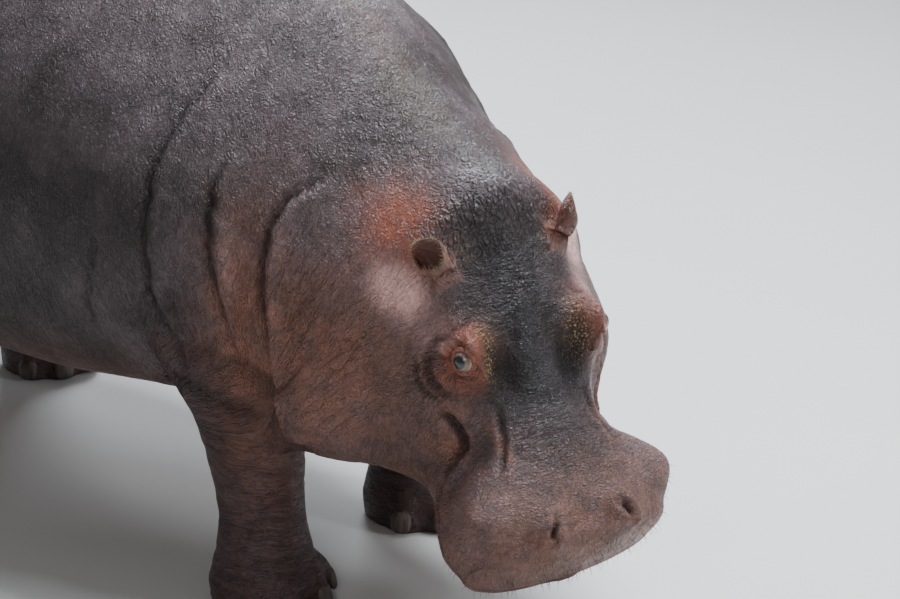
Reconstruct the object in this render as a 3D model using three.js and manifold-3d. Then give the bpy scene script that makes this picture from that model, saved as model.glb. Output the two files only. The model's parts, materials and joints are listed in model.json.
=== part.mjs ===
// A life-size hippopotamus, standing on four feet with its head lowered and turned a little to its right.
// Millimetres. +X is forward, +Y is the animal's left and +Z is up. The soles stand at z = 0.
// The body is one smooth barrel from rump to muzzle, joined to its legs, ears and tail, and then
// parted by thin cuts into the pieces that a person would name.

import * as THREE from 'three';
import { ParametricGeometry } from 'three/addons/geometries/ParametricGeometry.js';
import { mergeVertices } from 'three/addons/utils/BufferGeometryUtils.js';
import Module from 'manifold-3d';

const wasm = await Module();
wasm.setup();

// ---------------------------------------------------------------------------------------------
// Driving dimensions
// ---------------------------------------------------------------------------------------------

// The point midway between the eyes. Every other place is measured from it along the ground.
const EYES_AHEAD = 1169.3; // ahead of the middle of the whole animal
const EYE_HEIGHT = 710;

// Pose
const HEAD_PITCH = 50; // degrees that the head's long axis points below level
const HEAD_TURN = 8; // degrees that the head is turned to the animal's right
const HEAD_TILT = 6.5; // degrees that it is rolled about its long axis, the right side lower
const TURN_STARTS = -560; // the neck bends along an arc between these two places
const TURN_ENDS = -200;

const GAP = 0.3; // between two neighbouring pieces

// How finely the barrel is divided
const BARREL_SIDES = 28;
const ROWS_PER_SECTION = 1.9;
const CAP_ROWS = 3;

// The rounded ends beyond the first and last sections: how far they stand out, and how round they
// are (1 is a true ellipse, and less is squarer)
const RUMP_END = { length: -185, roundness: 1 };
const MUZZLE_END = { length: 62, roundness: 0.8 };

// Sections across the trunk and neck. top and bottom are [forward of the eyes, above the floor].
// half is half of the greatest width, belt the share of the height at which that width lies, and
// crown and keel say how square the upper and lower halves are (2 is an ellipse).
const BODY_SECTIONS = [
  { top: [-2325, 1318], bottom: [-2290, 560], half: 432, belt: 0.48, crown: 2, keel: 2.2 }, // rump
  { top: [-2170, 1385], bottom: [-2150, 490], half: 490, belt: 0.47, crown: 2, keel: 2.3 }, // hips
  { top: [-1900, 1425], bottom: [-1880, 405], half: 555, belt: 0.45, crown: 2, keel: 2.5 }, // flank
  { top: [-1560, 1440], bottom: [-1560, 350], half: 585, belt: 0.43, crown: 2, keel: 2.8 }, // belly
  { top: [-1220, 1445], bottom: [-1230, 355], half: 575, belt: 0.43, crown: 1.9, keel: 2.9 }, // ribs
  { top: [-950, 1425], bottom: [-980, 380], half: 535, belt: 0.44, crown: 1.8, keel: 2.8 },
  { top: [-750, 1378], bottom: [-800, 405], half: 498, belt: 0.45, crown: 1.65, keel: 2.7 }, // withers
  { top: [-595, 1312], bottom: [-705, 420], half: 452, belt: 0.45, crown: 1.6, keel: 2.6 }, // neck root
  { top: [-465, 1192], bottom: [-635, 430], half: 408, belt: 0.44, crown: 1.6, keel: 2.5 },
  { top: [-345, 1112], bottom: [-590, 430], half: 378, belt: 0.42, crown: 1.65, keel: 2.4 },
  { top: [-238, 1058], bottom: [-560, 428], half: 362, belt: 0.38, crown: 1.65, keel: 2.4 },
  { top: [-112, 1020], bottom: [-525, 415], half: 360, belt: 0.34, crown: 1.6, keel: 2.4 }, // nape
];

// Sections across the head, in its own frame: [along its axis from the eyes, above the eyes].
const HEAD_SECTIONS = [
  { top: [-212, 66], bottom: [-115, -588], half: 368, belt: 0.3, crown: 1.62, keel: 2.4 }, // ears
  { top: [-115, 40], bottom: [-55, -592], half: 366, belt: 0.27, crown: 1.75, keel: 2.6 }, // jowls
  { top: [-28, 14], bottom: [0, -560], half: 318, belt: 0.28, crown: 2.15, keel: 2.5 }, // eyes
  { top: [62, -14], bottom: [75, -490], half: 242, belt: 0.33, crown: 2.3, keel: 2.5 },
  { top: [150, -44], bottom: [160, -424], half: 200, belt: 0.38, crown: 2.2, keel: 2.6 }, // bridge
  { top: [238, -62], bottom: [240, -390], half: 222, belt: 0.46, crown: 2.7, keel: 2.7 },
  { top: [320, -66], bottom: [318, -380], half: 238, belt: 0.48, crown: 2.9, keel: 2.8 }, // muzzle
  { top: [388, -86], bottom: [380, -360], half: 222, belt: 0.48, crown: 2.9, keel: 2.8 },
];

// Swellings that push the barrel's surface out or in, the same on both sides. at, reach and push
// are [forward, sideways, up], in the head's frame or in the body's.
const HEAD_SWELLINGS = [
  { at: [-6, 148, -8], reach: [62, 60, 62], push: [0, 38, 38] }, // eye mounds
  { at: [-4, 156, -8], reach: [52, 54, 46], push: [4, 12, 14] }, // their crests
  { at: [6, 130, 6], reach: [48, 36, 50], push: [4, -4, 26] }, // their inner slopes
  { at: [45, 78, 0], reach: [60, 30, 60], push: [-6, 0, -36] }, // brow hollows
  { at: [-90, 0, 40], reach: [70, 110, 60], push: [0, 0, 8] }, // forehead
  { at: [10, 215, -165], reach: [60, 60, 50], push: [0, 14, 0] }, // cheeks
  { at: [140, 134, -95], reach: [60, 26, 45], push: [0, 10, 14] }, // lips' roots
  { at: [150, 165, -90], reach: [80, 70, 75], push: [0, -26, -8] }, // waist of the bridge
  { at: [378, 92, -84], reach: [46, 46, 50], push: [6, 0, 26] }, // nostril mounds
  { at: [300, 205, -105], reach: [75, 52, 62], push: [0, 38, 16] }, // tops of the upper lips
  { at: [340, 215, -215], reach: [80, 70, 80], push: [0, 20, 0] }, // upper lips
  { at: [-80, 330, -430], reach: [110, 120, 130], push: [0, 22, 0] }, // jowls
  { at: [-205, 150, 20], reach: [60, 50, 50], push: [-8, 12, 10] }, // ear roots
];
const BODY_SWELLINGS = [
  { at: [-790, 480, 820], reach: [190, 200, 360], push: [0, 26, 0] }, // shoulders
  { at: [-2130, 470, 800], reach: [260, 200, 360], push: [0, 30, 0] }, // haunches
];

// Legs. Each section is level:
// [height, forward of the leg's place, aside of it, half length, half width].
const FORE_LEG = {
  forward: -680,
  aside: 285,
  sections: [
    [22, 12, 0, 130, 126],
    [60, 12, 0, 131, 127],
    [115, 5, 0, 112, 110],
    [185, 0, 0, 101, 98],
    [275, -4, 4, 106, 99],
    [375, -14, 8, 126, 108],
    [490, -28, 18, 152, 122],
    [630, -40, 30, 182, 140],
    [790, -45, 20, 170, 120],
  ],
};
const HIND_LEG = {
  forward: -2150,
  aside: 262,
  sections: [
    [22, 18, 0, 122, 120],
    [60, 16, 0, 123, 121],
    [115, 4, 0, 104, 102],
    [190, -14, 0, 89, 87],
    [280, -24, 2, 98, 88],
    [375, -12, 12, 132, 112],
    [490, 0, 28, 186, 136],
    [630, 5, 38, 228, 152],
    [790, -5, 30, 215, 138],
  ],
};
const SOLE_INSET = 9; // the flat sole is this much smaller all round than the foot above it
const LEG_TOP = 60; // height of the rounded end hidden in the trunk
const LEG_SIDES = 12;
const LEGS = [
  { name: 'front_left', plan: FORE_LEG, side: 1, step: -45 },
  { name: 'front_right', plan: FORE_LEG, side: -1, step: 70 },
  { name: 'rear_left', plan: HIND_LEG, side: 1, step: 45 },
  { name: 'rear_right', plan: HIND_LEG, side: -1, step: -45 },
];
const KNEE_HEIGHT = 470; // where the upper leg is parted from the lower one
const ANKLE_HEIGHT = 135;

// Toes: four to a foot, fanned about the front
const TOE_ANGLES = [-60, -20, 20, 60];
const TOE_SIZE = [44, 37, 52]; // half length, half width, half height
const TOE_HEIGHT = 38;
const TOE_REACH = 0.8; // how far out from the leg's middle, as a share of the foot
const TOE_SEGMENTS = 6;
const NAIL_SIZE = [10, 24, 26];
const NAIL_HEIGHT = 33;
const NAIL_REACH = 1.08; // how far out from the leg's middle, as a share of the foot
const NAIL_TILT = 12; // degrees that its face looks up
const NAIL_SEGMENTS = 6;

// Eyes, each in a raised mound, in the head's frame
const EYE_RADIUS = 28;
const EYE_PLACE = [-2, 158, -6];
const EYE_SEGMENTS = 10;
const MOUND_SIZE = [60, 36, 40];
const MOUND_PLACE = [-6, 139, -12];
const MOUND_SEGMENTS = 9;

// Ears, in the head's frame. The profile gives shares of the length and of the half width.
const EAR_ROOT = [-192, 146, 26];
const EAR_POINTS = [-0.74, 0.48, 0.46]; // the way that it stands
const EAR_OPENS = [0.3, 0.82, 0.27]; // the way that its cup faces
const EAR_LENGTH = 102; // with the root that is sunk in the head
const EAR_HALF_WIDTH = 42;
const EAR_HALF_DEPTH = 26;
const EAR_PROFILE = [
  [0, 0],
  [0, 0.74],
  [0.3, 0.8],
  [0.52, 0.95],
  [0.72, 1],
  [0.88, 0.8],
  [0.97, 0.45],
  [1, 0],
];
const EAR_SIDES = 10;
const CUP_PLACE = [0.64, 0.8]; // shares of the length and of the half depth
const CUP_SIZE = [0.3, 0.82, 1.3]; // shares of the length, half width and half depth
const CUP_SEGMENTS = 8;

// Nostrils: slanting slits on top of the muzzle, in the head's frame
const NOSTRIL_PLACE = [398, 96, -58];
const NOSTRIL_RUNS = [0.8, 0.5, 0.1];
const NOSTRIL_FACES = [0.2, 0, 1];
const NOSTRIL_SIZE = [30, 12, 24];
const NOSTRIL_SEGMENTS = 10;

// Tail: [behind the root, below the root, half width, half thickness]
const TAIL_ROOT = [-2478, 1050]; // forward of the eyes, above the floor
const TAIL_SECTIONS = [
  [-40, 0, 46, 40],
  [24, 38, 42, 33],
  [52, 112, 34, 25],
  [62, 205, 27, 18],
  [66, 295, 26, 12],
  [68, 355, 19, 9],
];
const TAIL_TIP = 12;
const TAIL_LEAN = Math.PI / 2; // its rings turn this much on the way down from the root
const TAIL_BEND = 130; // below the root, where that turn is done
const TAIL_SIDES = 10;

// Where the big pieces part
const NECK_CUT = { over: [-715, 1500], under: [-490, 100] }; // [forward of the eyes, above the floor]
const HEAD_CUT = { over: [-262, 300], under: [-150, -700] }; // in the head's frame, as are those below
const MOUTH_FRONT = [520, -262];
const MOUTH_MIDDLE = [330, -262];
const MOUTH_REAR = [190, -285];
const MOUTH_CORNER = [85, -215];
const JAW_HINGE = [20, -700]; // the jaw's rear edge runs down from the mouth's corner to here

const SIDES = [1, -1]; // left, right
const SPHERE_RINGS = 0.6; // rings to a segment
const MIDLINE_BLEND = 30; // sideways pushes fade out this near to the middle line
const MERGE = 1e-3; // corners nearer than this are one
const FAR = 4000; // beyond the animal, for cutting

const FINISH = {
  hide: { color: 0x5d5257, roughness: 0.6, metalness: 0 },
  face: { color: 0x6a554f, roughness: 0.55, metalness: 0 },
  leg: { color: 0x54423d, roughness: 0.65, metalness: 0 },
  nail: { color: 0x3b3230, roughness: 0.45, metalness: 0 },
  eye: { color: 0x2a1c14, roughness: 0.1, metalness: 0 },
};

// ---------------------------------------------------------------------------------------------
// Frames and curves
// ---------------------------------------------------------------------------------------------

const radians = THREE.MathUtils.degToRad;
const UPWARD = new THREE.Vector3(0, 0, 1);
const eyes = new THREE.Vector3(0, 0, EYE_HEIGHT);
const pitch = radians(HEAD_PITCH);
const alongHead = new THREE.Vector3(Math.cos(pitch), 0, -Math.sin(pitch));
const acrossHead = new THREE.Vector3(0, 1, 0);
const aboveHead = new THREE.Vector3(Math.sin(pitch), 0, Math.cos(pitch));

/** A vector in the head's frame, turned into the body's. */
function headVector([along, across, above]) {
  return new THREE.Vector3()
    .addScaledVector(alongHead, along)
    .addScaledVector(acrossHead, across)
    .addScaledVector(aboveHead, above);
}

/** A place in the head's frame, put into the body's. */
function headPoint(place) {
  return headVector(place).add(eyes);
}

/** How much of the neck's turn lies behind a place, from none at its root to all at the head. */
function turnedShare(point) {
  return THREE.MathUtils.clamp((point.x - TURN_STARTS) / (TURN_ENDS - TURN_STARTS), 0, 1);
}

/** Rolls and bends the straight animal along the arc of the neck, then puts it in its place. */
function bend(point) {
  point.sub(eyes).applyAxisAngle(alongHead, radians(HEAD_TILT) * turnedShare(point)).add(eyes);
  const turn = radians(HEAD_TURN);
  const length = TURN_ENDS - TURN_STARTS;
  const radius = length / turn;
  const share = turnedShare(point);
  const angle = turn * share;
  const beyond = point.x - TURN_STARTS - share * length;
  const [sine, cosine] = [Math.sin(angle), Math.cos(angle)];
  const x = TURN_STARTS + radius * sine + beyond * cosine + point.y * sine;
  const y = -radius * (1 - cosine) - beyond * sine + point.y * cosine;
  return point.set(x + EYES_AHEAD, y, point.z);
}

const sections = [
  ...BODY_SECTIONS.map((s) => ({
    ...s,
    top: new THREE.Vector3(s.top[0], 0, s.top[1]),
    bottom: new THREE.Vector3(s.bottom[0], 0, s.bottom[1]),
  })),
  ...HEAD_SECTIONS.map((s) => ({
    ...s,
    top: headPoint([s.top[0], 0, s.top[1]]),
    bottom: headPoint([s.bottom[0], 0, s.bottom[1]]),
  })),
];

/** A smooth curve through one thing that each section states. */
function throughSections(pick) {
  return new THREE.CatmullRomCurve3(sections.map(pick), false, 'catmullrom', 0.5);
}

const topLine = throughSections((s) => s.top);
const bottomLine = throughSections((s) => s.bottom);
const girth = throughSections((s) => new THREE.Vector3(s.half, s.belt, 0));
const shape = throughSections((s) => new THREE.Vector3(s.crown, s.keel, 0));

/** A power that keeps the sign of its base, for a superellipse. */
function signedPower(value, power) {
  return Math.sign(value) * Math.abs(value) ** power;
}

/** Moves a point by every swelling near it, given in the frame with this origin and these axes. */
function swell(point, swellings, toLocal, toWorld) {
  const local = toLocal(point);
  const side = THREE.MathUtils.clamp(local.y / MIDLINE_BLEND, -1, 1);
  const push = [0, 0, 0];
  for (const { at, reach, push: full } of swellings) {
    const away =
      ((local.x - at[0]) / reach[0]) ** 2 +
      ((Math.abs(local.y) - at[1]) / reach[1]) ** 2 +
      ((local.z - at[2]) / reach[2]) ** 2;
    full.forEach((amount, axis) => (push[axis] += amount * Math.exp(-away)));
  }
  point.add(toWorld([push[0], side * push[1], push[2]]));
}

function inHead(point) {
  const offset = point.clone().sub(eyes);
  return new THREE.Vector3(offset.dot(alongHead), offset.y, offset.dot(aboveHead));
}

// ---------------------------------------------------------------------------------------------
// The barrel: rump, trunk, neck and head in one
// ---------------------------------------------------------------------------------------------

/** The point of one section at an angle measured round from the belly line. */
function sectionPoint(place, angle, scale, advance) {
  const top = topLine.getPoint(place);
  const bottom = bottomLine.getPoint(place);
  const { x: half, y: belt } = girth.getPoint(place);
  const { x: crown, y: keel } = shape.getPoint(place);
  const up = top.clone().sub(bottom);
  const height = up.length();
  up.normalize();
  const forward = new THREE.Vector3(up.z, 0, -up.x);
  const rise = -Math.cos(angle);
  const power = 2 / (rise > 0 ? crown : keel);
  const reach = rise > 0 ? (1 - belt) * height : belt * height;
  return bottom
    .addScaledVector(up, belt * height + scale * reach * signedPower(rise, power))
    .addScaledVector(acrossHead, scale * half * signedPower(Math.sin(angle), power))
    .addScaledVector(forward, advance);
}

/** Where a row of the barrel lies: on a section, or on one of the two rounded ends. */
function barrelRow(row, rows) {
  const share = (row - CAP_ROWS) / (rows - 2 * CAP_ROWS);
  const overrun = share < 0 ? -row / CAP_ROWS + 1 : (row - rows + CAP_ROWS) / CAP_ROWS;
  const roll = (Math.max(0, overrun) * Math.PI) / 2;
  const end = share < 0 ? RUMP_END : MUZZLE_END;
  return {
    place: THREE.MathUtils.clamp(share, 0, 1),
    scale: Math.max(0, Math.cos(roll)) ** end.roundness,
    advance: end.length * Math.sin(roll) ** end.roundness,
  };
}

function barrelGeometry() {
  const rows = Math.round((sections.length - 1) * ROWS_PER_SECTION) + 2 * CAP_ROWS;
  const surface = (u, v, target) => {
    const { place, scale, advance } = barrelRow(v * rows, rows);
    const point = sectionPoint(place, u * 2 * Math.PI, scale, advance);
    swell(point, HEAD_SWELLINGS, inHead, headVector);
    swell(point, BODY_SWELLINGS, (p) => p, (p) => new THREE.Vector3(...p));
    target.copy(bend(point));
  };
  return new ParametricGeometry(surface, BARREL_SIDES, rows);
}

// ---------------------------------------------------------------------------------------------
// Solids
// ---------------------------------------------------------------------------------------------

/** A closed geometry as a solid that can be joined and cut. */
function solid(geometry) {
  geometry.deleteAttribute('normal');
  geometry.deleteAttribute('uv');
  const merged = mergeVertices(geometry, MERGE);
  const corners = Array.from(merged.index.array);
  const kept = [];
  for (let i = 0; i < corners.length; i += 3) {
    const [a, b, c] = corners.slice(i, i + 3);
    if (a !== b && b !== c && c !== a) kept.push(a, b, c);
  }
  const mesh = new wasm.Mesh({
    numProp: 3,
    vertProperties: new Float32Array(merged.attributes.position.array),
    triVerts: new Uint32Array(kept),
  });
  return new wasm.Manifold(mesh);
}

/** A box between two corners. */
function boxSolid(low, high) {
  const size = high.map((value, axis) => value - low[axis]);
  const middle = high.map((value, axis) => (value + low[axis]) / 2);
  return solid(new THREE.BoxGeometry(...size).translate(...middle));
}

/** A stack of rings, each drawn by ringPoint, from one closed end to the other. */
function ringStack(rings, ringPoint, sides) {
  const surface = (u, v, target) => {
    const ring = rings[Math.round(v * (rings.length - 1))];
    target.copy(ringPoint(ring, u * 2 * Math.PI));
  };
  return new ParametricGeometry(surface, sides, rings.length - 1);
}

/** An ellipsoid, turned and put in its place. */
function ellipsoid(size, segments, placement) {
  return new THREE.SphereGeometry(1, segments, Math.round(segments * SPHERE_RINGS))
    .rotateX(Math.PI / 2)
    .applyMatrix4(new THREE.Matrix4().makeScale(...size))
    .applyMatrix4(placement);
}

/** A frame at a place, its X along one way and its Z as near as can be to another. */
function frameAt(origin, alongX, nearZ) {
  const x = alongX.clone().normalize();
  const y = nearZ.clone().cross(x).normalize();
  const z = x.clone().cross(y);
  return new THREE.Matrix4().makeBasis(x, y, z).setPosition(origin);
}

/** A frame fixed in the turned head. place and the two ways are in the head's own straight frame. */
function headFrame(side, place, alongX, nearZ) {
  const toSide = ([along, across, above]) => headVector([along, side * across, above]);
  const turned = (way) =>
    toSide(way).applyAxisAngle(alongHead, radians(HEAD_TILT)).applyAxisAngle(UPWARD, -radians(HEAD_TURN));
  return frameAt(bend(toSide(place).add(eyes)), turned(alongX), turned(nearZ));
}

const grown = (sizes, by) => sizes.map((size) => size + by);

// ---------------------------------------------------------------------------------------------
// Legs and their toenails
// ---------------------------------------------------------------------------------------------

function legPlace({ plan, side, step }) {
  return new THREE.Vector3(EYES_AHEAD + plan.forward + step, side * plan.aside, 0);
}

/** One leg from its flat sole to the end hidden in the trunk, made larger all round by extra. */
function legGeometry(leg, extra) {
  const place = legPlace(leg);
  const first = leg.plan.sections[0];
  const last = leg.plan.sections.at(-1);
  const ring = ([height, forward, aside, halfLength, halfWidth], rise, inset) => ({
    middle: new THREE.Vector3(place.x + forward, place.y + leg.side * aside, height + rise),
    halfLength: Math.max(0, halfLength - inset),
    halfWidth: Math.max(0, halfWidth - inset),
  });
  const rings = [
    ring(first, -first[0], Infinity),
    ring(first, -first[0], SOLE_INSET),
    ...leg.plan.sections.map((section) => ring(section, 0, -extra)),
    ring(last, LEG_TOP + extra, Infinity),
  ];
  const ringPoint = ({ middle, halfLength, halfWidth }, angle) =>
    new THREE.Vector3(halfLength * Math.cos(angle), halfWidth * Math.sin(angle), 0).add(middle);
  return ringStack(rings, ringPoint, LEG_SIDES);
}

/** A frame on the front of the foot, its X pointing out from the leg and tilted up by some degrees. */
function toeFrame(leg, degrees, height, reach, tilt) {
  const [, forward, aside, halfLength, halfWidth] = leg.plan.sections[1];
  const angle = radians(degrees);
  const outward = new THREE.Vector3(Math.cos(angle), Math.sin(angle), 0);
  const origin = legPlace(leg).add(
    new THREE.Vector3(forward, leg.side * aside, height).add(
      outward.clone().multiply(new THREE.Vector3(halfLength * reach, halfWidth * reach, 0)),
    ),
  );
  return frameAt(origin, outward.setZ(Math.tan(radians(tilt))), UPWARD);
}

function nailSolid(leg, degrees, extra) {
  const placement = toeFrame(leg, degrees, NAIL_HEIGHT, NAIL_REACH, NAIL_TILT);
  return solid(ellipsoid(grown(NAIL_SIZE, extra), NAIL_SEGMENTS, placement));
}

/** Adds one leg's three pieces and four nails to the model. */
function addLeg(leg) {
  let whole = solid(legGeometry(leg, 0));
  for (const degrees of TOE_ANGLES) {
    const placement = toeFrame(leg, degrees, TOE_HEIGHT, TOE_REACH, 0);
    whole = whole.add(solid(ellipsoid(TOE_SIZE, TOE_SEGMENTS, placement)));
  }
  const aboveFloor = boxSolid([-FAR, -FAR, 0], [FAR, FAR, FAR]);
  TOE_ANGLES.forEach((degrees, index) => {
    const nail = nailSolid(leg, degrees, 0).intersect(aboveFloor);
    addPiece(`nail_${leg.name}_${index + 1}`, nail, FINISH.nail);
    whole = whole.subtract(nailSolid(leg, degrees, GAP));
  });
  const between = (low, high) => whole.intersect(boxSolid([-FAR, -FAR, low], [FAR, FAR, high]));
  addPiece(`foot_${leg.name}`, between(0, ANKLE_HEIGHT), FINISH.leg);
  addPiece(`lower_leg_${leg.name}`, between(ANKLE_HEIGHT + GAP, KNEE_HEIGHT), FINISH.leg);
  addPiece(`upper_leg_${leg.name}`, between(KNEE_HEIGHT + GAP, FAR), FINISH.hide);
}

// ---------------------------------------------------------------------------------------------
// Ears, eyes, nostrils and tail
// ---------------------------------------------------------------------------------------------

/** A leaf-shaped ear on a round root, made larger all round by extra. */
function earLeaf(side, extra) {
  const placement = headFrame(side, EAR_ROOT, EAR_POINTS, EAR_OPENS);
  const ringPoint = ([along, share], angle) =>
    new THREE.Vector3(
      along * EAR_LENGTH - (along > 0 ? 0 : extra),
      share * (EAR_HALF_WIDTH + extra) * Math.cos(angle),
      share * (EAR_HALF_DEPTH + extra) * Math.sin(angle),
    ).applyMatrix4(placement);
  return solid(ringStack(EAR_PROFILE, ringPoint, EAR_SIDES));
}

function earSolid(side) {
  const middle = new THREE.Vector3(CUP_PLACE[0] * EAR_LENGTH, 0, CUP_PLACE[1] * EAR_HALF_DEPTH);
  const placement = headFrame(side, EAR_ROOT, EAR_POINTS, EAR_OPENS).multiply(
    new THREE.Matrix4().setPosition(middle),
  );
  const full = [EAR_LENGTH, EAR_HALF_WIDTH, EAR_HALF_DEPTH];
  const size = CUP_SIZE.map((share, axis) => share * full[axis]);
  return earLeaf(side, 0).subtract(solid(ellipsoid(size, CUP_SEGMENTS, placement)));
}

function eyeSolid(side, extra) {
  const placement = headFrame(side, EYE_PLACE, [0, 1, 0], [0, 0, 1]);
  return solid(ellipsoid(grown([EYE_RADIUS, EYE_RADIUS, EYE_RADIUS], extra), EYE_SEGMENTS, placement));
}

function nostrilSolid(side) {
  const placement = headFrame(side, NOSTRIL_PLACE, NOSTRIL_RUNS, NOSTRIL_FACES);
  return solid(ellipsoid(NOSTRIL_SIZE, NOSTRIL_SEGMENTS, placement));
}

/** The tail, thick where it leaves the rump and flattened towards its tip. */
function tailSolid(extra) {
  const root = new THREE.Vector3(TAIL_ROOT[0], 0, TAIL_ROOT[1]);
  const first = TAIL_SECTIONS[0];
  const last = TAIL_SECTIONS.at(-1);
  const rings = [
    [first[0] + extra, first[1], 0, 0],
    ...TAIL_SECTIONS.map(([back, down, ...halves]) => [back, down, ...grown(halves, extra)]),
    [last[0], last[1] + TAIL_TIP, 0, 0],
  ];
  const ringPoint = ([back, down, halfWidth, halfDepth], angle) => {
    const lean = Math.PI / 2 - TAIL_LEAN * Math.min(1, down / TAIL_BEND);
    const middle = bend(root.clone().add(new THREE.Vector3(-back, 0, -down)));
    const thick = halfDepth * Math.cos(angle);
    return middle.add(
      new THREE.Vector3(thick * Math.cos(lean), -halfWidth * Math.sin(angle), thick * Math.sin(lean)),
    );
  };
  return solid(ringStack(rings, ringPoint, TAIL_SIDES));
}

// ---------------------------------------------------------------------------------------------
// The whole animal, parted
// ---------------------------------------------------------------------------------------------

const model = new THREE.Group();
model.name = 'hippopotamus';

/** Puts one finished solid into the model as a named mesh. */
function addPiece(name, piece, finish) {
  const { vertProperties, triVerts } = piece.getMesh();
  const geometry = new THREE.BufferGeometry();
  geometry.setAttribute('position', new THREE.BufferAttribute(vertProperties, 3));
  geometry.setIndex(new THREE.BufferAttribute(triVerts, 1));
  geometry.computeVertexNormals();
  const mesh = new THREE.Mesh(geometry, new THREE.MeshStandardMaterial(finish));
  mesh.name = name;
  model.add(mesh);
}

/** A slab across the whole animal with this outline, seen from the side, in the bent head's frame. */
function headRegion(outline) {
  const form = new THREE.Shape(outline.map(([along, above]) => new THREE.Vector2(along, above)));
  const slab = new THREE.ExtrudeGeometry(form, { depth: 2 * FAR, bevelEnabled: false });
  const placement = headFrame(1, [0, 0, 0], [1, 0, 0], [0, -1, 0]);
  return solid(slab.translate(0, 0, -FAR).applyMatrix4(placement));
}

/** A slab across the whole animal with this outline, seen from the side, in the body's frame. */
function bodyRegion(outline) {
  const form = new THREE.Shape(outline.map(([x, z]) => new THREE.Vector2(x + EYES_AHEAD, z)));
  const slab = new THREE.ExtrudeGeometry(form, { depth: 2 * FAR, bevelEnabled: false });
  return solid(slab.translate(0, 0, -FAR).rotateX(Math.PI / 2));
}

/** Everything in front of a line from over to under, drawn back by some distance. */
function inFrontOf({ over, under }, back) {
  return [[over[0] - back, over[1]], [under[0] - back, under[1]], [FAR, under[1]], [FAR, over[1]]];
}

/** Everything below the mouth and ahead of the jaw's hinge, made larger by some distance. */
function jawOutline(extra) {
  const line = [MOUTH_FRONT, MOUTH_MIDDLE, MOUTH_REAR, MOUTH_CORNER, JAW_HINGE];
  const moved = line.map(([along, above]) => [along - extra, above + extra]);
  return [...moved, [MOUTH_FRONT[0], JAW_HINGE[1]]];
}

/** The barrel with its eye mounds, and with a pocket for everything that is set into it. */
function pocketedBarrel() {
  const mounds = SIDES.map((side) => {
    const placement = headFrame(side, MOUND_PLACE, [1, 0, 0], [0, 1, 1]);
    return solid(ellipsoid(MOUND_SIZE, MOUND_SEGMENTS, placement));
  });
  const pockets = [
    ...LEGS.map((leg) => solid(legGeometry(leg, GAP))),
    ...SIDES.map((side) => earLeaf(side, GAP)),
    ...SIDES.map((side) => eyeSolid(side, GAP)),
    ...SIDES.map((side) => nostrilSolid(side)),
    tailSolid(GAP),
  ];
  const whole = mounds.reduce((barrel, mound) => barrel.add(mound), solid(barrelGeometry()));
  return pockets.reduce((barrel, pocket) => barrel.subtract(pocket), whole);
}

function addBody() {
  const whole = pocketedBarrel();
  const front = whole.intersect(bodyRegion(inFrontOf(NECK_CUT, 0)));
  const head = front.intersect(headRegion(inFrontOf(HEAD_CUT, 0)));
  addPiece('trunk', whole.subtract(bodyRegion(inFrontOf(NECK_CUT, GAP))), FINISH.hide);
  addPiece('neck', front.subtract(headRegion(inFrontOf(HEAD_CUT, GAP))), FINISH.hide);
  addPiece('head', head.subtract(headRegion(jawOutline(GAP))), FINISH.face);
  addPiece('lower_jaw', head.intersect(headRegion(jawOutline(0))), FINISH.face);
}

addBody();
LEGS.forEach(addLeg);
for (const side of SIDES) {
  const hand = side > 0 ? 'left' : 'right';
  addPiece(`ear_${hand}`, earSolid(side), FINISH.face);
  addPiece(`eye_${hand}`, eyeSolid(side, 0), FINISH.eye);
}
addPiece('tail', tailSolid(0), FINISH.leg);

export default model;
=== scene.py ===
"""A life-size hippopotamus, standing, with its head lowered and turned a little to its right.

All sizes are in metres. +X is forward, +Y is the animal's left and +Z is up. A straight animal is
worked out first, measured along the ground from the point midway between its eyes, and its neck
and head are then rolled and bent to the side.
"""

import json
import logging
import math
from dataclasses import dataclass, field
from enum import Enum, IntEnum

import bpy
import numpy as np
from mathutils import Matrix, Vector

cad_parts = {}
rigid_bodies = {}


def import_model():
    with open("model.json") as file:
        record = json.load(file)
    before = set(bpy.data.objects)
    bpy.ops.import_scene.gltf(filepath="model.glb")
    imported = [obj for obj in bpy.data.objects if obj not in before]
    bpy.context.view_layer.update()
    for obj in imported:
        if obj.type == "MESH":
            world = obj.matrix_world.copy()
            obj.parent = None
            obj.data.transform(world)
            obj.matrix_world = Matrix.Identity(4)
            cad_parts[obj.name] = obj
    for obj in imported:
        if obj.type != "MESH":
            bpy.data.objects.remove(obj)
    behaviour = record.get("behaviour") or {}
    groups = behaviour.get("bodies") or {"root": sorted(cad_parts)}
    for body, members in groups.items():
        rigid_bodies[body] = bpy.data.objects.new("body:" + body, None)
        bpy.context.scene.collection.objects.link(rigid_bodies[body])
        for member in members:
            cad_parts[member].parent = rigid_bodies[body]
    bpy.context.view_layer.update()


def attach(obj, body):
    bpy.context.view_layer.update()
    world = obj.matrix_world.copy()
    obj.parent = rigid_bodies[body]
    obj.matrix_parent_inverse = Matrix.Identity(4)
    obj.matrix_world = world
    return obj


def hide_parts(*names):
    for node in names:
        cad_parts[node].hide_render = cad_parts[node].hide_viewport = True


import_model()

IMAGE_WIDTH = 900
IMAGE_HEIGHT = 599

Array = np.ndarray
Pair = tuple[np.ndarray, np.ndarray]
Two = tuple[float, float]
Place = tuple[float, float, float]
Colour = tuple[float, float, float, float]
Piece = bpy.types.Object
Socket = bpy.types.NodeSocket
log = logging.getLogger("hippopotamus")


# ---- Small formulas ----


def smoothstep(value: Array, start: float, end: float) -> Array:
    """An S-shaped rise from 0 at start to 1 at end: 3t² - 2t³ of the share t of the way.

    Args:
        value: The values to look up.
        start: Where the rise begins.
        end: Where it is complete.

    Returns:
        The height of the rise at each value.
    """
    share = np.clip((value - start) / (end - start), 0.0, 1.0)
    return share * share * (3.0 - 2.0 * share)


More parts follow.
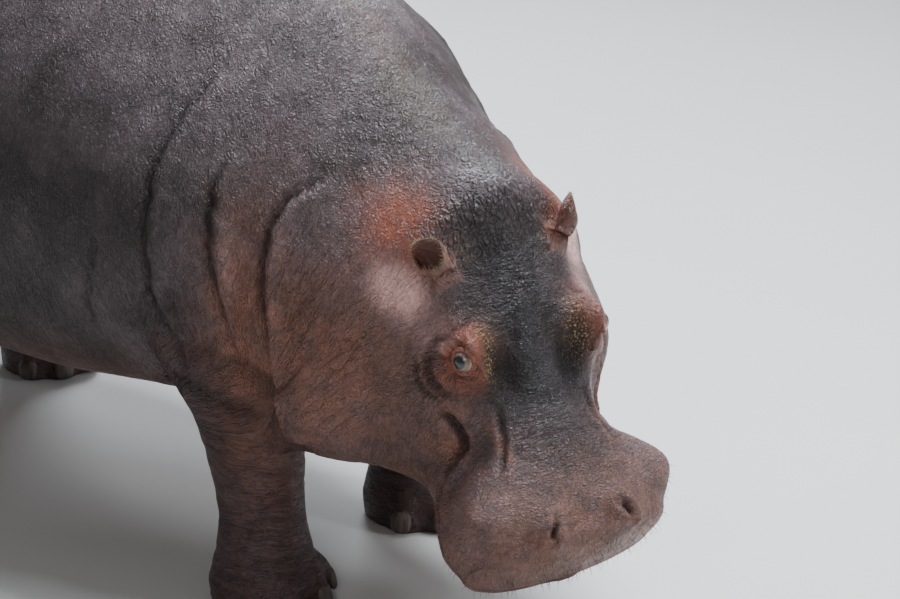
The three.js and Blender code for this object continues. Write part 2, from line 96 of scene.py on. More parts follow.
def bell(value: Array, centre: float, width: float) -> Array:
    """A bell curve: e to the power of minus the squared distance in widths."""
    return np.exp(-(((value - centre) / width) ** 2))


def signed_power(value: Array, power: Array) -> Array:
    """A power that keeps the sign of its base, for a superellipse."""
    return np.sign(value) * np.abs(value) ** power


def unit(vectors: Array) -> Array:
    """The vectors, each divided by its own length."""
    return vectors / np.maximum(np.linalg.norm(vectors, axis=-1, keepdims=True), 1e-12)


def through(knots: Array, at: Array) -> Array:
    """A Catmull-Rom curve: a cubic between each two knots, its slope half of their neighbours' step.

    Args:
        knots: The values that the curve passes through, one row each.
        at: Places along it, in whole knots from the first.

    Returns:
        One row of values for each place.
    """
    padded = np.vstack([2 * knots[0] - knots[1], knots, 2 * knots[-1] - knots[-2]])
    first = np.clip(np.floor(at).astype(int), 0, len(knots) - 2)
    share = (at - first)[:, None]
    before, start, end, after = (padded[first + step] for step in range(4))
    leaving, arriving = (end - before) / 2, (after - start) / 2
    square, cube = share**2, share**3
    return (
        start
        + leaving * share
        + (3 * (end - start) - 2 * leaving - arriving) * square
        + (2 * (start - end) + leaving + arriving) * cube
    )


# Large odd numbers and shifts that scatter the bits of a corner's place.
AXIS_PRIMES = (374761393, 668265263, 1440662683)
SEED_PRIME = 974634777
SCATTERS = ((13, 1274126177), (15, 1103515245))
LOW_BITS = 0x7FFFFFFF


def value_noise(points: Array, seed: int) -> Array:
    """Random numbers at whole-number corners of space, blended between them by smoothsteps.

    Args:
        points: Places, in units of the noise's own cells.
        seed: Which noise.

    Returns:
        A value from -1 to 1 at each place.
    """
    cell = np.floor(points).astype(np.int64)
    share = points - cell
    share = share * share * (3 - 2 * share)
    total = np.zeros(points.shape[:-1])
    for corner in np.ndindex(2, 2, 2):
        mixed = (((cell + corner) * AXIS_PRIMES).sum(axis=-1) + seed * SEED_PRIME) & LOW_BITS
        for shift, prime in SCATTERS:
            mixed = ((mixed ^ (mixed >> shift)) * prime) & LOW_BITS
        random = ((mixed >> 8) & 0xFFFF) / 32767.5 - 1
        weight = np.ones_like(total)
        for axis in range(3):
            weight = weight * (share[..., axis] if corner[axis] else 1 - share[..., axis])
        total += weight * random
    return total


def furrows(value: Array, width: float) -> Array:
    """1 where a value is zero, falling off on both sides as a bell curve of this width."""
    return np.exp(-((value / width) ** 2))


def layered_noise(points: Array, seed: int, layers: int = 3) -> Array:
    """Value noise added up in layers, each twice as fine and half as strong as the last."""
    parts = [value_noise(points * 2.0**layer, seed + layer) * 0.5**layer for layer in range(layers)]
    return sum(parts) / (2 - 0.5 ** (layers - 1))


def noise_vectors(points: Array, seeds: tuple[int, ...], layers: int) -> Array:
    """One layered noise for each axis, side by side."""
    return np.stack([layered_noise(points, seed, layers) for seed in seeds], axis=1)


def loft(knots: list[Array], steps: int) -> Pair:
    """Smooth rings through a row of rings.

    Args:
        knots: The rings that the surface passes through, with equally many points.
        steps: Rings made for each of them after the first.

    Returns:
        The rings, and the place of each in whole knots from the first.
    """
    at = np.arange(1, (len(knots) - 1) * steps + 1) / steps
    return through(np.stack(knots).reshape(len(knots), -1), at).reshape(len(at), -1, 3), at


# ---- The pose ----


@dataclass(frozen=True)
class Pose:
    """How the straight animal's head is set and how its neck is turned.

    Attributes:
        eyes_ahead: From the middle of the whole animal forward to the eyes.
        eye_height: Height of the point midway between the eyes.
        pitch: Degrees that the head's long axis points below level.
        turn: Degrees that the head is turned to the animal's right.
        tilt: Degrees that it is rolled, the right side lower.
        turn_starts: Where the neck's bend begins, forward of the eyes.
        turn_ends: Where it is complete.
    """

    eyes_ahead: float = 1.1693
    eye_height: float = 0.710
    pitch: float = 50.0
    turn: float = 8.0
    tilt: float = 6.5
    turn_starts: float = -0.560
    turn_ends: float = -0.200

    def eyes(self) -> Array:
        """The point midway between the eyes of the straight animal."""
        return np.array([0.0, 0.0, self.eye_height])

    def axes(self) -> Array:
        """The straight head's own axes as rows: along the head, across it and above it."""
        sine, cosine = math.sin(math.radians(self.pitch)), math.cos(math.radians(self.pitch))
        return np.array([[cosine, 0, -sine], [0, 1, 0], [sine, 0, cosine]])

    def to_head(self, points: Array) -> Array:
        """Straight places as [along, across, above] from the eyes."""
        return (points - self.eyes()) @ self.axes().T

    def from_head(self, places: Array) -> Array:
        """The inverse of to_head."""
        return np.asarray(places) @ self.axes() + self.eyes()

    def turned_share(self, forward: Array) -> Array:
        """How much of the neck's turn lies behind each place, from 0 at its root to 1 at the head."""
        return np.clip((forward - self.turn_starts) / (self.turn_ends - self.turn_starts), 0, 1)

    def bend(self, points: Array) -> Array:
        """Rolls straight places about the head's axis, then bends them along the neck's arc.

        Args:
            points: Places on the straight animal.

        Returns:
            The same places on the posed animal, in the model's frame.
        """
        axis = self.axes()[0]
        offset = points - self.eyes()
        roll = math.radians(self.tilt) * self.turned_share(points[..., 0])[..., None]
        along = (offset @ axis)[..., None] * axis
        rolled = offset * np.cos(roll) + np.cross(axis, offset) * np.sin(roll) + along * (1 - np.cos(roll))
        rolled = rolled + self.eyes()
        length = self.turn_ends - self.turn_starts
        radius = length / math.radians(self.turn)
        share = self.turned_share(rolled[..., 0])
        angle = math.radians(self.turn) * share
        beyond = rolled[..., 0] - self.turn_starts - share * length
        sine, cosine = np.sin(angle), np.cos(angle)
        x = self.turn_starts + radius * sine + beyond * cosine + rolled[..., 1] * sine
        y = -radius * (1 - cosine) - beyond * sine + rolled[..., 1] * cosine
        return np.stack([x + self.eyes_ahead, y, rolled[..., 2]], axis=-1)

    def shift(self) -> Array:
        """From the straight animal to the model's frame where nothing is bent."""
        return np.array([self.eyes_ahead, 0.0, 0.0])


POSE = Pose()


# ---- The barrel: rump, trunk, neck and head as one closed form ----


@dataclass(frozen=True)
class Section:
    """One section across the barrel.

    Attributes:
        top: Its highest point, as [forward of the eyes, above the floor], or in the head's frame.
        bottom: Its lowest point, likewise.
        half: Half of its greatest width.
        belt: The share of its height at which that width lies.
        crown: How square its upper half is: 2 is an ellipse.
        keel: How square its lower half is.
    """

    top: Two
    bottom: Two
    half: float
    belt: float
    crown: float
    keel: float


@dataclass(frozen=True)
class Swelling:
    """A soft push of the surface, the same on both sides.

    Attributes:
        at: Its middle: [forward or along, sideways, up or above].
        reach: How far it spreads each way.
        push: How far it moves the surface there.
    """

    at: Place
    reach: Place
    push: Place


@dataclass(frozen=True)
class RoundedEnd:
    """How the barrel closes beyond an end section.

    Attributes:
        length: How far it stands out.
        roundness: 1 is a true ellipse, and less is squarer.
        rows: How many rows of points it takes.
    """

    length: float
    roundness: float
    rows: int

    def profile(self, roll: Array) -> Pair:
        """The scale of each row by its angle beyond the end section, and how far it stands out."""
        return np.maximum(np.cos(roll), 0) ** self.roundness, self.length * np.sin(roll) ** self.roundness


BODY_SECTIONS = (
    Section((-2.325, 1.318), (-2.290, 0.560), 0.432, 0.48, 2.00, 2.2),  # rump
    Section((-2.170, 1.385), (-2.150, 0.490), 0.490, 0.47, 2.00, 2.3),  # hips
    Section((-1.900, 1.425), (-1.880, 0.405), 0.555, 0.45, 2.00, 2.5),  # flank
    Section((-1.560, 1.440), (-1.560, 0.350), 0.585, 0.43, 2.00, 2.8),  # belly
    Section((-1.220, 1.445), (-1.230, 0.355), 0.575, 0.43, 1.90, 2.9),  # ribs
    Section((-0.950, 1.425), (-0.980, 0.380), 0.535, 0.44, 1.80, 2.8),
    Section((-0.750, 1.378), (-0.800, 0.405), 0.498, 0.45, 1.65, 2.7),  # withers
    Section((-0.595, 1.312), (-0.705, 0.420), 0.452, 0.45, 1.60, 2.6),  # neck root
    Section((-0.465, 1.192), (-0.635, 0.430), 0.408, 0.44, 1.60, 2.5),
    Section((-0.345, 1.112), (-0.590, 0.430), 0.378, 0.42, 1.65, 2.4),
    Section((-0.238, 1.058), (-0.560, 0.428), 0.362, 0.38, 1.65, 2.4),
    Section((-0.112, 1.020), (-0.525, 0.415), 0.360, 0.34, 1.60, 2.4),  # nape
)
HEAD_SECTIONS = (
    Section((-0.212, 0.066), (-0.115, -0.588), 0.368, 0.30, 1.62, 2.4),  # ears
    Section((-0.115, 0.040), (-0.055, -0.592), 0.366, 0.27, 1.75, 2.6),  # jowls
    Section((-0.028, 0.014), (0.000, -0.560), 0.318, 0.28, 2.15, 2.5),  # eyes
    Section((0.062, -0.014), (0.075, -0.490), 0.242, 0.33, 2.30, 2.5),
    Section((0.150, -0.044), (0.160, -0.424), 0.200, 0.38, 2.20, 2.6),  # bridge
    Section((0.238, -0.062), (0.240, -0.390), 0.222, 0.46, 2.70, 2.7),
    Section((0.320, -0.066), (0.318, -0.380), 0.238, 0.48, 2.90, 2.8),  # muzzle
    Section((0.388, -0.086), (0.380, -0.360), 0.222, 0.48, 2.90, 2.8),
)
HEAD_SWELLINGS = (
    Swelling((-0.006, 0.148, -0.008), (0.062, 0.060, 0.062), (0.0, 0.038, 0.038)),  # eye mounds
    Swelling((-0.004, 0.156, -0.008), (0.052, 0.054, 0.046), (0.004, 0.022, 0.024)),  # their crests
    Swelling((0.006, 0.130, 0.006), (0.048, 0.036, 0.050), (0.004, -0.004, 0.026)),  # inner slopes
    Swelling((0.045, 0.078, 0.000), (0.060, 0.030, 0.060), (-0.006, 0.0, -0.036)),  # brow hollows
    Swelling((-0.090, 0.000, 0.040), (0.070, 0.110, 0.060), (0.0, 0.0, 0.008)),  # forehead
    Swelling((0.010, 0.215, -0.165), (0.060, 0.060, 0.050), (0.0, 0.014, 0.0)),  # cheeks
    Swelling((0.140, 0.134, -0.095), (0.060, 0.026, 0.045), (0.0, 0.010, 0.014)),  # lips' roots
    Swelling((0.150, 0.165, -0.090), (0.080, 0.070, 0.075), (0.0, -0.026, -0.008)),  # bridge waist
    Swelling((0.378, 0.092, -0.084), (0.046, 0.046, 0.050), (0.006, 0.0, 0.026)),  # nostril mounds
    Swelling((0.300, 0.205, -0.105), (0.075, 0.052, 0.062), (0.0, 0.038, 0.016)),  # lip tops
    Swelling((0.340, 0.215, -0.215), (0.080, 0.070, 0.080), (0.0, 0.020, 0.0)),  # upper lips
    Swelling((-0.080, 0.330, -0.430), (0.110, 0.120, 0.130), (0.0, 0.022, 0.0)),  # jowls
    Swelling((-0.205, 0.150, 0.020), (0.060, 0.050, 0.050), (-0.008, 0.012, 0.010)),  # ear roots
)
BODY_SWELLINGS = (
    Swelling((-0.790, 0.480, 0.820), (0.190, 0.200, 0.360), (0.0, 0.026, 0.0)),  # shoulders
    Swelling((-2.130, 0.470, 0.800), (0.260, 0.200, 0.360), (0.0, 0.030, 0.0)),  # haunches
)


@dataclass(frozen=True)
class Barrel:
    """The closed form of rump, trunk, neck and head, as rows of points round each section.

    Attributes:
        columns: Points round each row.
        body_spacing: Between rows on the trunk.
        neck_spacing: Between rows on the neck.
        head_spacing: Between rows on the head.
        trunk_ends: The section up to which the trunk's spacing holds.
        neck_starts: The section at which the neck's is reached.
        measured_at: Share of the height at which the spacing is measured.
        crowding: How much closer the points lie on the back than on the belly.
        midline_blend: Sideways swellings fade out this near to the middle line.
        samples: Places along the barrel at which its length is measured.
        outline_samples: Places round each row at which its outline is measured.
        rump: The rear end.
        muzzle: The front end.
    """

    columns: int = 224
    body_spacing: float = 0.0175
    neck_spacing: float = 0.0115
    head_spacing: float = 0.0060
    trunk_ends: float = 4.0
    neck_starts: float = 6.5
    measured_at: float = 0.6
    crowding: float = 0.45
    midline_blend: float = 0.030
    samples: int = 2000
    outline_samples: int = 2881
    rump: RoundedEnd = RoundedEnd(-0.185, 1.0, 30)
    muzzle: RoundedEnd = RoundedEnd(0.062, 0.8, 28)

    def knots(self) -> Array:
        """Every section as one row: top, bottom, half width, belt, crown and keel."""
        body, head = (
            np.array([(s.top[0], 0, s.top[1], s.bottom[0], 0, s.bottom[1]) for s in group])
            for group in (BODY_SECTIONS, HEAD_SECTIONS)
        )
        head = np.hstack([POSE.from_head(head[:, :3]), POSE.from_head(head[:, 3:])])
        rest = [(s.half, s.belt, s.crown, s.keel) for s in BODY_SECTIONS + HEAD_SECTIONS]
        return np.hstack([np.vstack([body, head]), rest])

    def rows(self) -> tuple[Array, Array, Array]:
        """Where every row lies: closer together on the head, and rounding off at both ends.

        Returns:
            The rows' places in sections, the scale of each, and how far each is moved forward.
        """
        knots = self.knots()
        fine = np.linspace(0, len(knots) - 1, self.samples)
        values = through(knots, fine)
        middles = values[:, 3:6] + (values[:, :3] - values[:, 3:6]) * self.measured_at
        steps = np.linalg.norm(np.diff(middles, axis=0), axis=1)
        changes = [0, self.trunk_ends, self.neck_starts, len(BODY_SECTIONS) - 0.5]
        spacings = [self.body_spacing, self.body_spacing, self.neck_spacing, self.head_spacing]
        counted = np.concatenate([[0], np.cumsum(steps / np.interp(fine[1:], changes, spacings))])
        middle_rows = np.interp(np.linspace(0, counted[-1], round(counted[-1])), counted, fine)
        at = np.concatenate([np.zeros(self.rump.rows), middle_rows, np.full(self.muzzle.rows, fine[-1])])
        still = np.zeros(len(middle_rows))
        shrunk, back = self.rump.profile(np.linspace(math.pi / 2, 0, self.rump.rows + 1)[:-1])
        shrinking, ahead = self.muzzle.profile(np.linspace(0, math.pi / 2, self.muzzle.rows + 1)[1:])
        return at, np.concatenate([shrunk, still + 1, shrinking]), np.concatenate([back, still, ahead])

    def surface(self, at: Array, scale: Array, advance: Array, angle: Array) -> Array:
        """Superelliptic sections, each standing on its own sloping line from bottom to top.

        The height is the belt plus the reach above or below it times a signed power of minus the
        cosine, and the sideways place is the half width times the same power of the sine.

        Args:
            at: Place of each row, in sections.
            scale: Scale of each row.
            advance: How far each row is moved forward.
            angle: Angles round each row from the belly line, one row each.

        Returns:
            Straight places, as rows by columns by 3.
        """
        values = through(self.knots(), at)
        top, bottom = values[:, :3], values[:, 3:6]
        half, belt, crown, keel = (values[:, 6 + item][:, None] for item in range(4))
        height = np.linalg.norm(top - bottom, axis=1)[:, None]
        up = (top - bottom) / height
        forward = np.stack([up[:, 2], np.zeros(len(up)), -up[:, 0]], axis=1)
        rise = -np.cos(angle)
        power = np.where(rise > 0, 2 / crown, 2 / keel)
        reach = np.where(rise > 0, (1 - belt) * height, belt * height)
        lift = belt * height + scale[:, None] * reach * signed_power(rise, power)
        across = scale[:, None] * half * signed_power(np.sin(angle), power)
        points = bottom[:, None] + up[:, None] * lift[..., None]
        points[..., 1] += across
        return points + (forward * advance[:, None])[:, None]

    def angles(self, at: Array) -> Array:
        """Angles that part each row evenly along its outline, closer together on the back."""
        fine = np.linspace(0, 2 * math.pi, self.outline_samples)
        ones = np.ones(len(at))
        outline = self.surface(at, ones, 0 * ones, np.tile(fine, (len(at), 1)))
        steps = np.linalg.norm(np.diff(outline, axis=1), axis=2)
        weight = 1 - self.crowding * np.cos((fine[1:] + fine[:-1]) / 2)
        travelled = np.concatenate([0 * ones[:, None], np.cumsum(steps * weight, axis=1)], axis=1)
        shares = np.arange(self.columns) / self.columns
        return np.array([np.interp(shares * line[-1], line, fine) for line in travelled])

    def swell(self, points: Array, swellings: tuple[Swelling, ...]) -> Array:
        """The push at each place: the sum of every swelling's push times its bell curve.

        Args:
            points: Places in the swellings' own frame.
            swellings: What pushes them.

        Returns:
            How far each place moves, in the same frame.
        """
        side = np.clip(points[..., 1:2] / self.midline_blend, -1, 1)
        mirrored = points * [1, 0, 1] + np.abs(points) * [0, 1, 0]
        total = np.zeros_like(points)
        for swelling in swellings:
            away = ((mirrored - swelling.at) / swelling.reach) ** 2
            total += np.exp(-away.sum(axis=-1, keepdims=True)) * swelling.push
        total[..., 1:2] *= side
        return total

    def grid(self) -> Array:
        """The whole swollen surface, straight, as rows by columns by 3."""
        at, scale, advance = self.rows()
        points = self.surface(at, scale, advance, self.angles(at))
        points = points + self.swell(POSE.to_head(points), HEAD_SWELLINGS) @ POSE.axes()
        return points + self.swell(points, BODY_SWELLINGS)


# ---- One continuous sheet ----


class Part(IntEnum):
    """Which region of the skin a point belongs to."""

    BARREL = 0
    LEG = 1
    EAR = 2
    LID = 3
    TAIL = 4


@dataclass(frozen=True)
class MapPatch:
    """A rectangle of the flat map that one grid of faces takes up."""

    left: float
    bottom: float
    width: float
    height: float

    def spread(self, rows: int, columns: int) -> Array:
        """Map places of a grid of points, its rows running across and its columns upward.

        Args:
            rows: Rows of points.
            columns: Columns of points, the closing one included.

        Returns:
            Map places as rows by columns by 2.
        """
        shares = (np.arange(count) / (count - 1) for count in (rows, columns))
        across, upward = np.meshgrid(*shares, indexing="ij")
        return np.stack([self.left + across * self.width, self.bottom + upward * self.height], axis=-1)


@dataclass(frozen=True)
class Hole:
    """A rectangle of the barrel's grid that a limb grows from."""

    first_row: int
    last_row: int
    first_column: int
    last_column: int

    def loop(self) -> Pair:
        """Rows and columns of the points round its edge, in the order of a face's corners."""
        across = self.last_column - self.first_column
        along = self.last_row - self.first_row
        rising = np.arange(self.first_row, self.last_row)
        climbing = np.arange(self.first_column, self.last_column)
        first, last = np.full(along, self.first_column), np.full(along, self.last_column)
        rows = [np.full(across, self.first_row), rising, np.full(across, self.last_row), rising[::-1] + 1]
        return np.concatenate(rows), np.concatenate([climbing, last, climbing[::-1] + 1, first])

    def edge(self, grid: Array) -> Array:
        """The values of a whole grid at the points round its edge."""
        rows, columns = self.loop()
        return grid[rows, columns % grid.shape[1]]


def hole_at(grid: Array, place: Array, half_along: float, half_around: float) -> Hole:
    """The hole of about this size round the grid point nearest to a place.

    Args:
        grid: The barrel's points, rows by columns by 3.
        place: Where the limb grows.
        half_along: Half of the hole's extent along the barrel.
        half_around: Half of its extent round the barrel.

    Returns:
        The hole.
    """
    away = np.linalg.norm(grid - place, axis=-1)
    row, column = np.unravel_index(np.argmin(away), away.shape)
    row_step = np.linalg.norm(grid[row + 1, column] - grid[row - 1, column]) / 2
    column_step = np.linalg.norm(grid[row, column + 1] - grid[row, column - 1]) / 2
    rows, columns = max(2, round(half_along / row_step)), max(2, round(half_around / column_step))
    return Hole(row - rows, row + rows, column - columns, column + columns)


def even_turns(angles: Array, share: Array) -> Array:
    """Angles round a ring, moved by a share of the way towards being evenly parted.

    Args:
        angles: Unwrapped angles of the ring's points.
        share: One share for each ring that is made.

    Returns:
        Angles, one row for each share.
    """
    turn = 2 * math.pi * np.sign(angles[-1] - angles[0])
    even = np.arange(len(angles)) / len(angles) * turn
    even = even + (angles - even).mean()
    return angles + np.asarray(share)[:, None] * (even - angles)


@dataclass
class Sheet:
    """One continuous surface while it is put together, and its faces' places on the flat map.

    Attributes:
        points: Places in the model's frame.
        straight: The same places on the straight animal.
        lay: Distances along and round the body, for wrinkles that follow it.
        parts: The region of each point.
        progress: How far out along its limb each point lies, from 0 to 1.
        faces: Corner indices, one array for each size of face.
        maps: Map places of those corners.
        edges: Pairs of neighbouring points.
        total: Number of points so far.
    """

    points: list[Array] = field(default_factory=list)
    straight: list[Array] = field(default_factory=list)
    lay: list[Array] = field(default_factory=list)
    parts: list[Array] = field(default_factory=list)
    progress: list[Array] = field(default_factory=list)
    faces: list[Array] = field(default_factory=list)
    maps: list[Array] = field(default_factory=list)
    edges: list[Array] = field(default_factory=list)
    total: int = 0

    def add_points(
        self,
        points: Array,
        straight: Array,
        part: Part,
        lay: Array | float = 0.0,
        progress: Array | float = 0.0,
    ) -> Array:
        """Adds points of any grid shape and returns their indices in that shape."""
        shape = points.shape[:-1]
        count = int(np.prod(shape))
        self.points.append(points.reshape(-1, 3))
        self.straight.append(straight.reshape(-1, 3))
        self.lay.append(np.broadcast_to(lay, points.shape).reshape(-1, 3))
        self.parts.append(np.full(count, int(part)))
        self.progress.append(np.broadcast_to(progress, shape).reshape(-1).astype(float))
        self.total += count
        return np.arange(self.total - count, self.total).reshape(shape)

    def add_strips(self, ids: Array, flat: Array, keep: Array | None = None) -> None:
        """Joins closed rings of points with four-sided faces.

        Args:
            ids: Point indices, rings by points.
            flat: Map places, rings by points plus one by 2.
            keep: Which faces to make, or all of them.
        """
        after = np.roll(ids, -1, axis=1)
        corners = np.stack([ids[:-1], after[:-1], after[1:], ids[1:]], axis=-1)
        places = np.stack([flat[:-1, :-1], flat[:-1, 1:], flat[1:, 1:], flat[1:, :-1]], axis=-2)
        mask = np.ones(corners.shape[:2], bool) if keep is None else keep
        self.faces.append(corners[mask])
        self.maps.append(places[mask])
        self.edges.append(np.stack([ids[:-1], after[:-1]], axis=-1).reshape(-1, 2))
        self.edges.append(np.stack([ids[:-1], ids[1:]], axis=-1).reshape(-1, 2))

    def add_fan(
        self, ring: Array, centre: int, flat: Array, flat_centre: Array, turned: bool = False
    ) -> None:
        """Closes a ring of points with triangles to one point.

        Args:
            ring: The ring's point indices.
            centre: Index of the middle point.
            flat: Map places of the ring, one more than its points.
            flat_centre: Map place of the middle, or one for each triangle.
            turned: True where the ring runs the other way round.
        """
        after = np.roll(ring, -1)
        first, second = (after, ring) if turned else (ring, after)
        start, end = (flat[1:], flat[:-1]) if turned else (flat[:-1], flat[1:])
        middle = np.broadcast_to(flat_centre, start.shape)
        self.faces.append(np.stack([first, second, np.full(len(ring), centre)], axis=-1))
        self.maps.append(np.stack([start, end, middle], axis=-2))
        self.edges.append(np.stack([ring, np.full(len(ring), centre)], axis=-1))

    def add_closed(self, ids: Array, poles: Array, flat: Array, keep: Array | None = None) -> None:
        """Joins rings of points and closes the first and the last of them to a pole each.

        Args:
            ids: Point indices, rings by points.
            poles: Indices of the two poles.
            flat: Map places, one row for each ring and each pole.
            keep: Which faces to make between the rings, or all of them.
        """
        self.add_strips(ids, flat[1:-1], keep)
        self.add_fan(ids[0], poles[0], flat[1], (flat[0, 1:] + flat[0, :-1]) / 2, turned=True)
        self.add_fan(ids[-1], poles[1], flat[-2], (flat[-1, 1:] + flat[-1, :-1]) / 2)

    def close(self) -> None:
        """Joins what was gathered into single arrays and drops the points that no face uses."""
        used = np.unique(np.concatenate([faces.ravel() for faces in self.faces]))
        renumbered = np.full(self.total, -1)
        renumbered[used] = np.arange(len(used))
        for name in ("points", "straight", "lay", "parts", "progress"):
            setattr(self, name, np.concatenate(getattr(self, name))[used])
        self.faces = [renumbered[faces] for faces in self.faces]
        edges = renumbered[np.concatenate(self.edges)]
        self.edges = np.unique(np.sort(edges[(edges >= 0).all(axis=1)], axis=1), axis=0)
        self.total = len(used)

    def neighbour_mean(self, values: Array) -> Array:
        """The mean of each point's neighbours, for any values with one row to a point."""
        first, second = self.edges.T
        count = np.bincount(first, minlength=self.total) + np.bincount(second, minlength=self.total)
        sums = [
            np.bincount(first, column[second], self.total) + np.bincount(second, column[first], self.total)
            for column in values.T
        ]
        return np.stack(sums, axis=1) / np.maximum(count, 1)[:, None]

    def relax(self, strength: Array, rounds: int) -> None:
        """Moves each point towards the mean of its neighbours by its own strength, some rounds."""
        for _ in range(rounds):
            way = self.neighbour_mean(self.points) - self.points
            self.points = self.points + strength[:, None] * way

    def normals(self) -> Array:
        """Outward directions: the cross products of every face's diagonals, summed at its corners."""
        total = np.zeros((self.total, 3))
        for faces in self.faces:
            corners = self.points[faces]
            facing = np.cross(corners[:, 2] - corners[:, 0], corners[:, -1] - corners[:, 1])
            for corner in range(faces.shape[1]):
                for axis in range(3):
                    total[:, axis] += np.bincount(faces[:, corner], facing[:, axis], self.total)
        return unit(total)

    def to_object(self, name: str) -> Piece:
        """Makes the Blender object, with smooth shading and the OFBake map."""
        corners = np.concatenate([faces.ravel() for faces in self.faces])
        sizes = np.concatenate([np.full(len(faces), faces.shape[1]) for faces in self.faces])
        flat = np.concatenate([places.reshape(-1, 2) for places in self.maps])
        return mesh_object(name, self.points, corners, sizes, flat)


def mesh_object(name: str, points: Array, corners: Array, sizes: Array, flat: Array | None) -> Piece:
    """Puts arrays into a new mesh object at the origin.

    Args:
        name: The piece's name.
        points: Vertex places.
        corners: Vertex index of every face corner, face by face.
        sizes: Number of corners of each face.
        flat: Map place of every corner, or None for no map.

    Returns:
        The new object, linked to the scene.
    """
    mesh = bpy.data.meshes.new(name)
    mesh.vertices.add(len(points))
    mesh.vertices.foreach_set("co", np.asarray(points, np.float32).ravel())
    mesh.loops.add(len(corners))
    mesh.loops.foreach_set("vertex_index", np.asarray(corners, np.int32))
    mesh.polygons.add(len(sizes))
    starts = np.concatenate([[0], np.cumsum(sizes)[:-1]])
    mesh.polygons.foreach_set("loop_start", np.asarray(starts, np.int32))
    mesh.update(calc_edges=True)
    if flat is not None:
        layer = mesh.uv_layers.new(name="OFBake")
        layer.data.foreach_set("uv", np.asarray(flat, np.float32).ravel())
    mesh.validate()
    mesh.shade_smooth()
    piece = bpy.data.objects.new(name, mesh)
    bpy.context.scene.collection.objects.link(piece)
    return piece


def store(piece: Piece, name: str, kind: str, values: Array) -> None:
    """Stores values at every point of a piece as a named attribute.

    Args:
        piece: The object.
        name: The attribute's name.
        kind: FLOAT, FLOAT_VECTOR or FLOAT_COLOR.
        values: One number or one row for each point.
    """
    socket = {"FLOAT": "value", "FLOAT_VECTOR": "vector", "FLOAT_COLOR": "color"}[kind]
    attribute = piece.data.attributes.new(name=name, type=kind, domain="POINT")
    attribute.data.foreach_set(socket, np.asarray(values, np.float32).ravel())


# ---- Limbs that grow from the barrel ----


@dataclass(frozen=True)
class LegPlan:
    """The shape of a fore or hind leg, as level sections.

    Attributes:
        forward: Of the eyes, where it stands.
        aside: Of the middle line.
        sections: [height, forward of its place, aside of it, half length, half width].
        join_height: Where it is clear of the body.
        half_length: Half of the length of the place where it grows from the body.
        inner: How far its growing place stays from the middle line.
        outer_height: How high that place reaches on the outside.
    """

    forward: float
    aside: float
    sections: tuple[tuple[float, float, float, float, float], ...]
    join_height: float
    half_length: float
    inner: float
    outer_height: float


FORE_LEG = LegPlan(
    forward=-0.680,
    aside=0.285,
    sections=(
        (0.022, 0.012, 0.000, 0.130, 0.126),
        (0.060, 0.012, 0.000, 0.131, 0.127),
        (0.115, 0.005, 0.000, 0.112, 0.110),
        (0.185, 0.000, 0.000, 0.101, 0.098),
        (0.275, -0.004, 0.004, 0.106, 0.099),
        (0.375, -0.014, 0.008, 0.126, 0.108),
        (0.490, -0.028, 0.018, 0.152, 0.122),
        (0.630, -0.040, 0.030, 0.182, 0.140),
        (0.790, -0.045, 0.020, 0.170, 0.120),
    ),
    join_height=0.375,
    half_length=0.165,
    inner=0.165,
    outer_height=0.625,
)
HIND_LEG = LegPlan(
    forward=-2.150,
    aside=0.262,
    sections=(
        (0.022, 0.018, 0.000, 0.122, 0.120),
        (0.060, 0.016, 0.000, 0.123, 0.121),
        (0.115, 0.004, 0.000, 0.104, 0.102),
        (0.190, -0.014, 0.000, 0.089, 0.087),
        (0.280, -0.024, 0.002, 0.098, 0.088),
        (0.375, -0.012, 0.012, 0.132, 0.112),
        (0.490, 0.000, 0.028, 0.186, 0.136),
        (0.630, 0.005, 0.038, 0.228, 0.152),
        (0.790, -0.005, 0.030, 0.215, 0.138),
    ),
    join_height=0.420,
    half_length=0.205,
    inner=0.140,
    outer_height=0.700,
)


